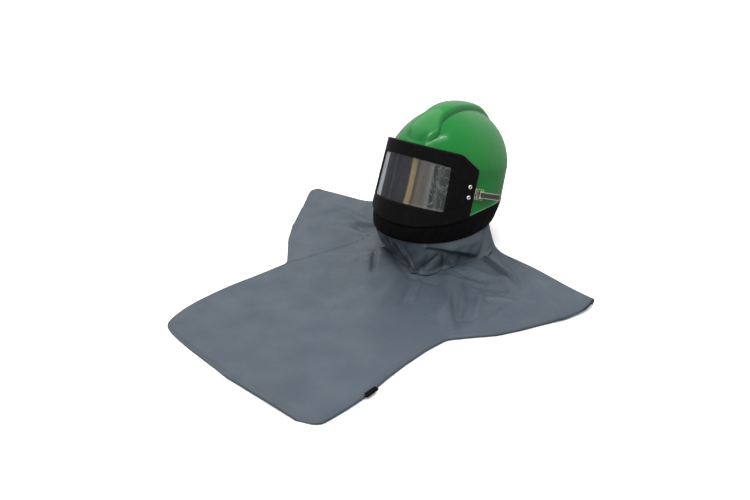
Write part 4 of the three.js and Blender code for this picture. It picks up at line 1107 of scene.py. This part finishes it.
def collar_piece():
    """The bunched collar from the seal to the cape, pushed out by its folds and creases."""
    columns, rows = 440, 70
    angles = np.linspace(-np.pi, np.pi, columns, endpoint=False)
    share = np.linspace(0, 1, rows)[:, None]
    degrees = angles / DEG
    inset = 11 + 11 * smoothstep(70, 105, np.abs(degrees))
    tucked = seal_foot(angles) + 6
    top = to_row(super_point(*shell_section(tucked, -inset), angles, tucked))
    away = np.stack([np.sin(angles), -np.cos(angles)], axis=-1)
    foot = COLLAR_CENTRE + away * foot_radius(angles)[:, None]
    level = cape_level(foot[:, 0], foot[:, 1]) - 1.2
    foot = np.column_stack([foot, level])
    points = top[None] * (1 - share[..., None]) + foot[None] * share[..., None]
    push = np.zeros((rows, columns))
    for upper, lower, wide, high, peak in COLLAR_FOLDS:
        centre = upper + (lower - upper) * share
        gap = (degrees[None, :] - centre + 180) % 360 - 180
        rise = np.sin(np.pi * share ** (np.log(0.5) / np.log(peak)))
        push += high * rise * np.exp(-np.abs(gap / wide) ** 1.5)
    edge = 0.3 + (degrees[None, :] - 50) * 0.0138
    window = smoothstep(38, 56, degrees[None, :]) * (1 - smoothstep(100, 122, degrees[None, :]))
    push += 8 * window * smoothstep(0, 0.3, share) * (1 - smoothstep(edge - 0.03, edge + 0.14, share))
    belly = 3.5 * np.sin(np.pi * share) ** 1.2
    fine = 0.9 * np.sin(degrees[None, :] * 0.31 + 9 * share) * np.sin(np.pi * share)
    push += belly + fine
    flare = 5 * smoothstep(0.86, 1.0, share)
    # Painted shadow: the collar's top, just under the seal, is darkened
    shade = smoothstep(0.16, 0.0, share) * np.ones(columns) * 0.5
    # Painted shade along the collar's creases
    for path, wide, high, dark in COLLAR_LINES:
        gap = distance_to_path(degrees[None, :] * 2, share * 45, [(a * 2, s * 45) for a, s in path])
        push += high * np.exp(-(gap / wide) ** 1.25)
        shade = np.maximum(shade, dark * np.exp(-(gap / wide) ** 2))
    points[..., :2] += away[None] * (push + flare)[..., None]
    obj = make("collar_cloth", points, grid_faces(rows, columns, closed_columns=True), CLOTH)
    fix_normals(obj)
    attribute(obj, "hem", np.full((rows, columns), 60.0))
    attribute(obj, "run", np.zeros((rows, columns)))
    attribute(obj, "seam", np.broadcast_to(smoothstep(0.965, 0.99, share), (rows, columns)))
    attribute(obj, "crease_shade", shade)
    attribute(obj, "rumple_shade", np.ones((rows, columns)))
    thicken(obj, 1.6)
    return obj


def tag_piece():
    """Plain woven tab folded over the hem's right edge."""
    columns = 18
    y = -CAPE_LENGTH * TAG_FROM + np.linspace(-TAG_HALF_LENGTH, TAG_HALF_LENGTH, columns)
    right = cape_sides(np.full(columns, TAG_FROM))[1]
    profile = [(-2.4, 1.3), (-2.2, 1.9), (0, 1.9), (5.2, 1.3), (6, 0.1), (5.4, -1.1), (0, -1.6)]
    points = []
    for out, up in profile:
        points.append(np.stack([right + out, y, np.full(columns, TAG_LEVEL + up)], axis=-1))
    obj = make("hem_tab", np.array(points), grid_faces(len(profile), columns), PADDING)
    thicken(obj, 0.7)
    return obj


# Pieces, and what they stand for

shell = shell_piece()
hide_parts("shell")
crest = crest_piece()
visor = frame_piece()
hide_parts("visor_frame")
pane = pane_piece()
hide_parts("window")
seal = seal_piece()
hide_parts("neck_seal")
collar = collar_piece()
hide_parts("collar")
cape_front = cape_front_piece()
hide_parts("cape_front")
cape_back = cape_back_piece()
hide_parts("cape_back")
tag = tag_piece()
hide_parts("hem_tag")

for side_name, side in (("near", 1), ("far", -1)):
    for level, height in RIVET_HEIGHTS.items():
        rivet_piece(f"rivet_{side_name}_{level}", side, height)
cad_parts["latch_lever"].data.materials[0] = LEVER
for name in ("keeper", "latch_base", "latch_pin", "latch_bail", "hinge_shell_leaf",
             "hinge_frame_leaf", "hinge_pin"):
    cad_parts[name].data.materials[0] = PLATED


# Floor, light and camera

bpy.ops.mesh.primitive_plane_add(size=30, location=(0, 0, -0.0002))
floor = bpy.context.active_object
floor.name = "floor"
floor.data.materials.append(floor_material())
floor.visible_diffuse = floor.visible_glossy = False

scene = bpy.context.scene
scene.view_settings.view_transform = "Standard"
world = bpy.data.worlds.new("studio")
scene.world = world
world.use_nodes = True
sky = world.node_tree.nodes
sky["Background"].inputs["Color"].default_value = (1, 1, 1, 1)
height = sky.new("ShaderNodeSeparateXYZ")
fade = sky.new("ShaderNodeMapRange")
for key, value in (("From Min", -0.5), ("From Max", 0.3), ("To Min", 0.2), ("To Max", 1.0)):
    fade.inputs[key].default_value = value
place = sky.new("ShaderNodeTexCoord").outputs["Generated"]
for source, target in ((place, height.inputs[0]), (height.outputs["Z"], fade.inputs["Value"]),
                       (fade.outputs[0], sky["Background"].inputs["Strength"])):
    world.node_tree.links.new(source, target)


def area_light(name, place, target, size, power):
    light = bpy.data.lights.new(name, "AREA")
    light.shape = "RECTANGLE"
    light.size, light.size_y = size
    light.energy = power
    obj = bpy.data.objects.new(name, light)
    obj.location = place
    obj.rotation_euler = (Vector(target) - Vector(place)).to_track_quat("-Z", "Y").to_euler()
    scene.collection.objects.link(obj)


area_light("strip", (0.7, -0.28, 2.0), (0.1, -0.05, 0.2), (2.1, 0.08), 20)

overhead = bpy.data.lights.new("overhead", "SUN")
overhead.energy = 2.3
overhead.angle = 75 * DEG
overhead_object = bpy.data.objects.new("overhead", overhead)
overhead_object.rotation_euler = Vector((-0.45, 0.05, 0.87)).to_track_quat("Z", "Y").to_euler()
scene.collection.objects.link(overhead_object)

camera_data = bpy.data.cameras.new("photo_camera")
camera_data.lens = 43.2
camera_data.sensor_width = 36
camera = bpy.data.objects.new("photo_camera", camera_data)
right = Vector((0.7478, 0.6639, 0.0))
up = Vector((-0.3224, 0.3631, 0.8742))
back = right.cross(up)
rotation = Matrix((right, up, back)).transposed().to_4x4()
camera.matrix_world = Matrix.Translation((1.049, -1.388, 0.940)) @ rotation
scene.collection.objects.link(camera)
scene.camera = camera
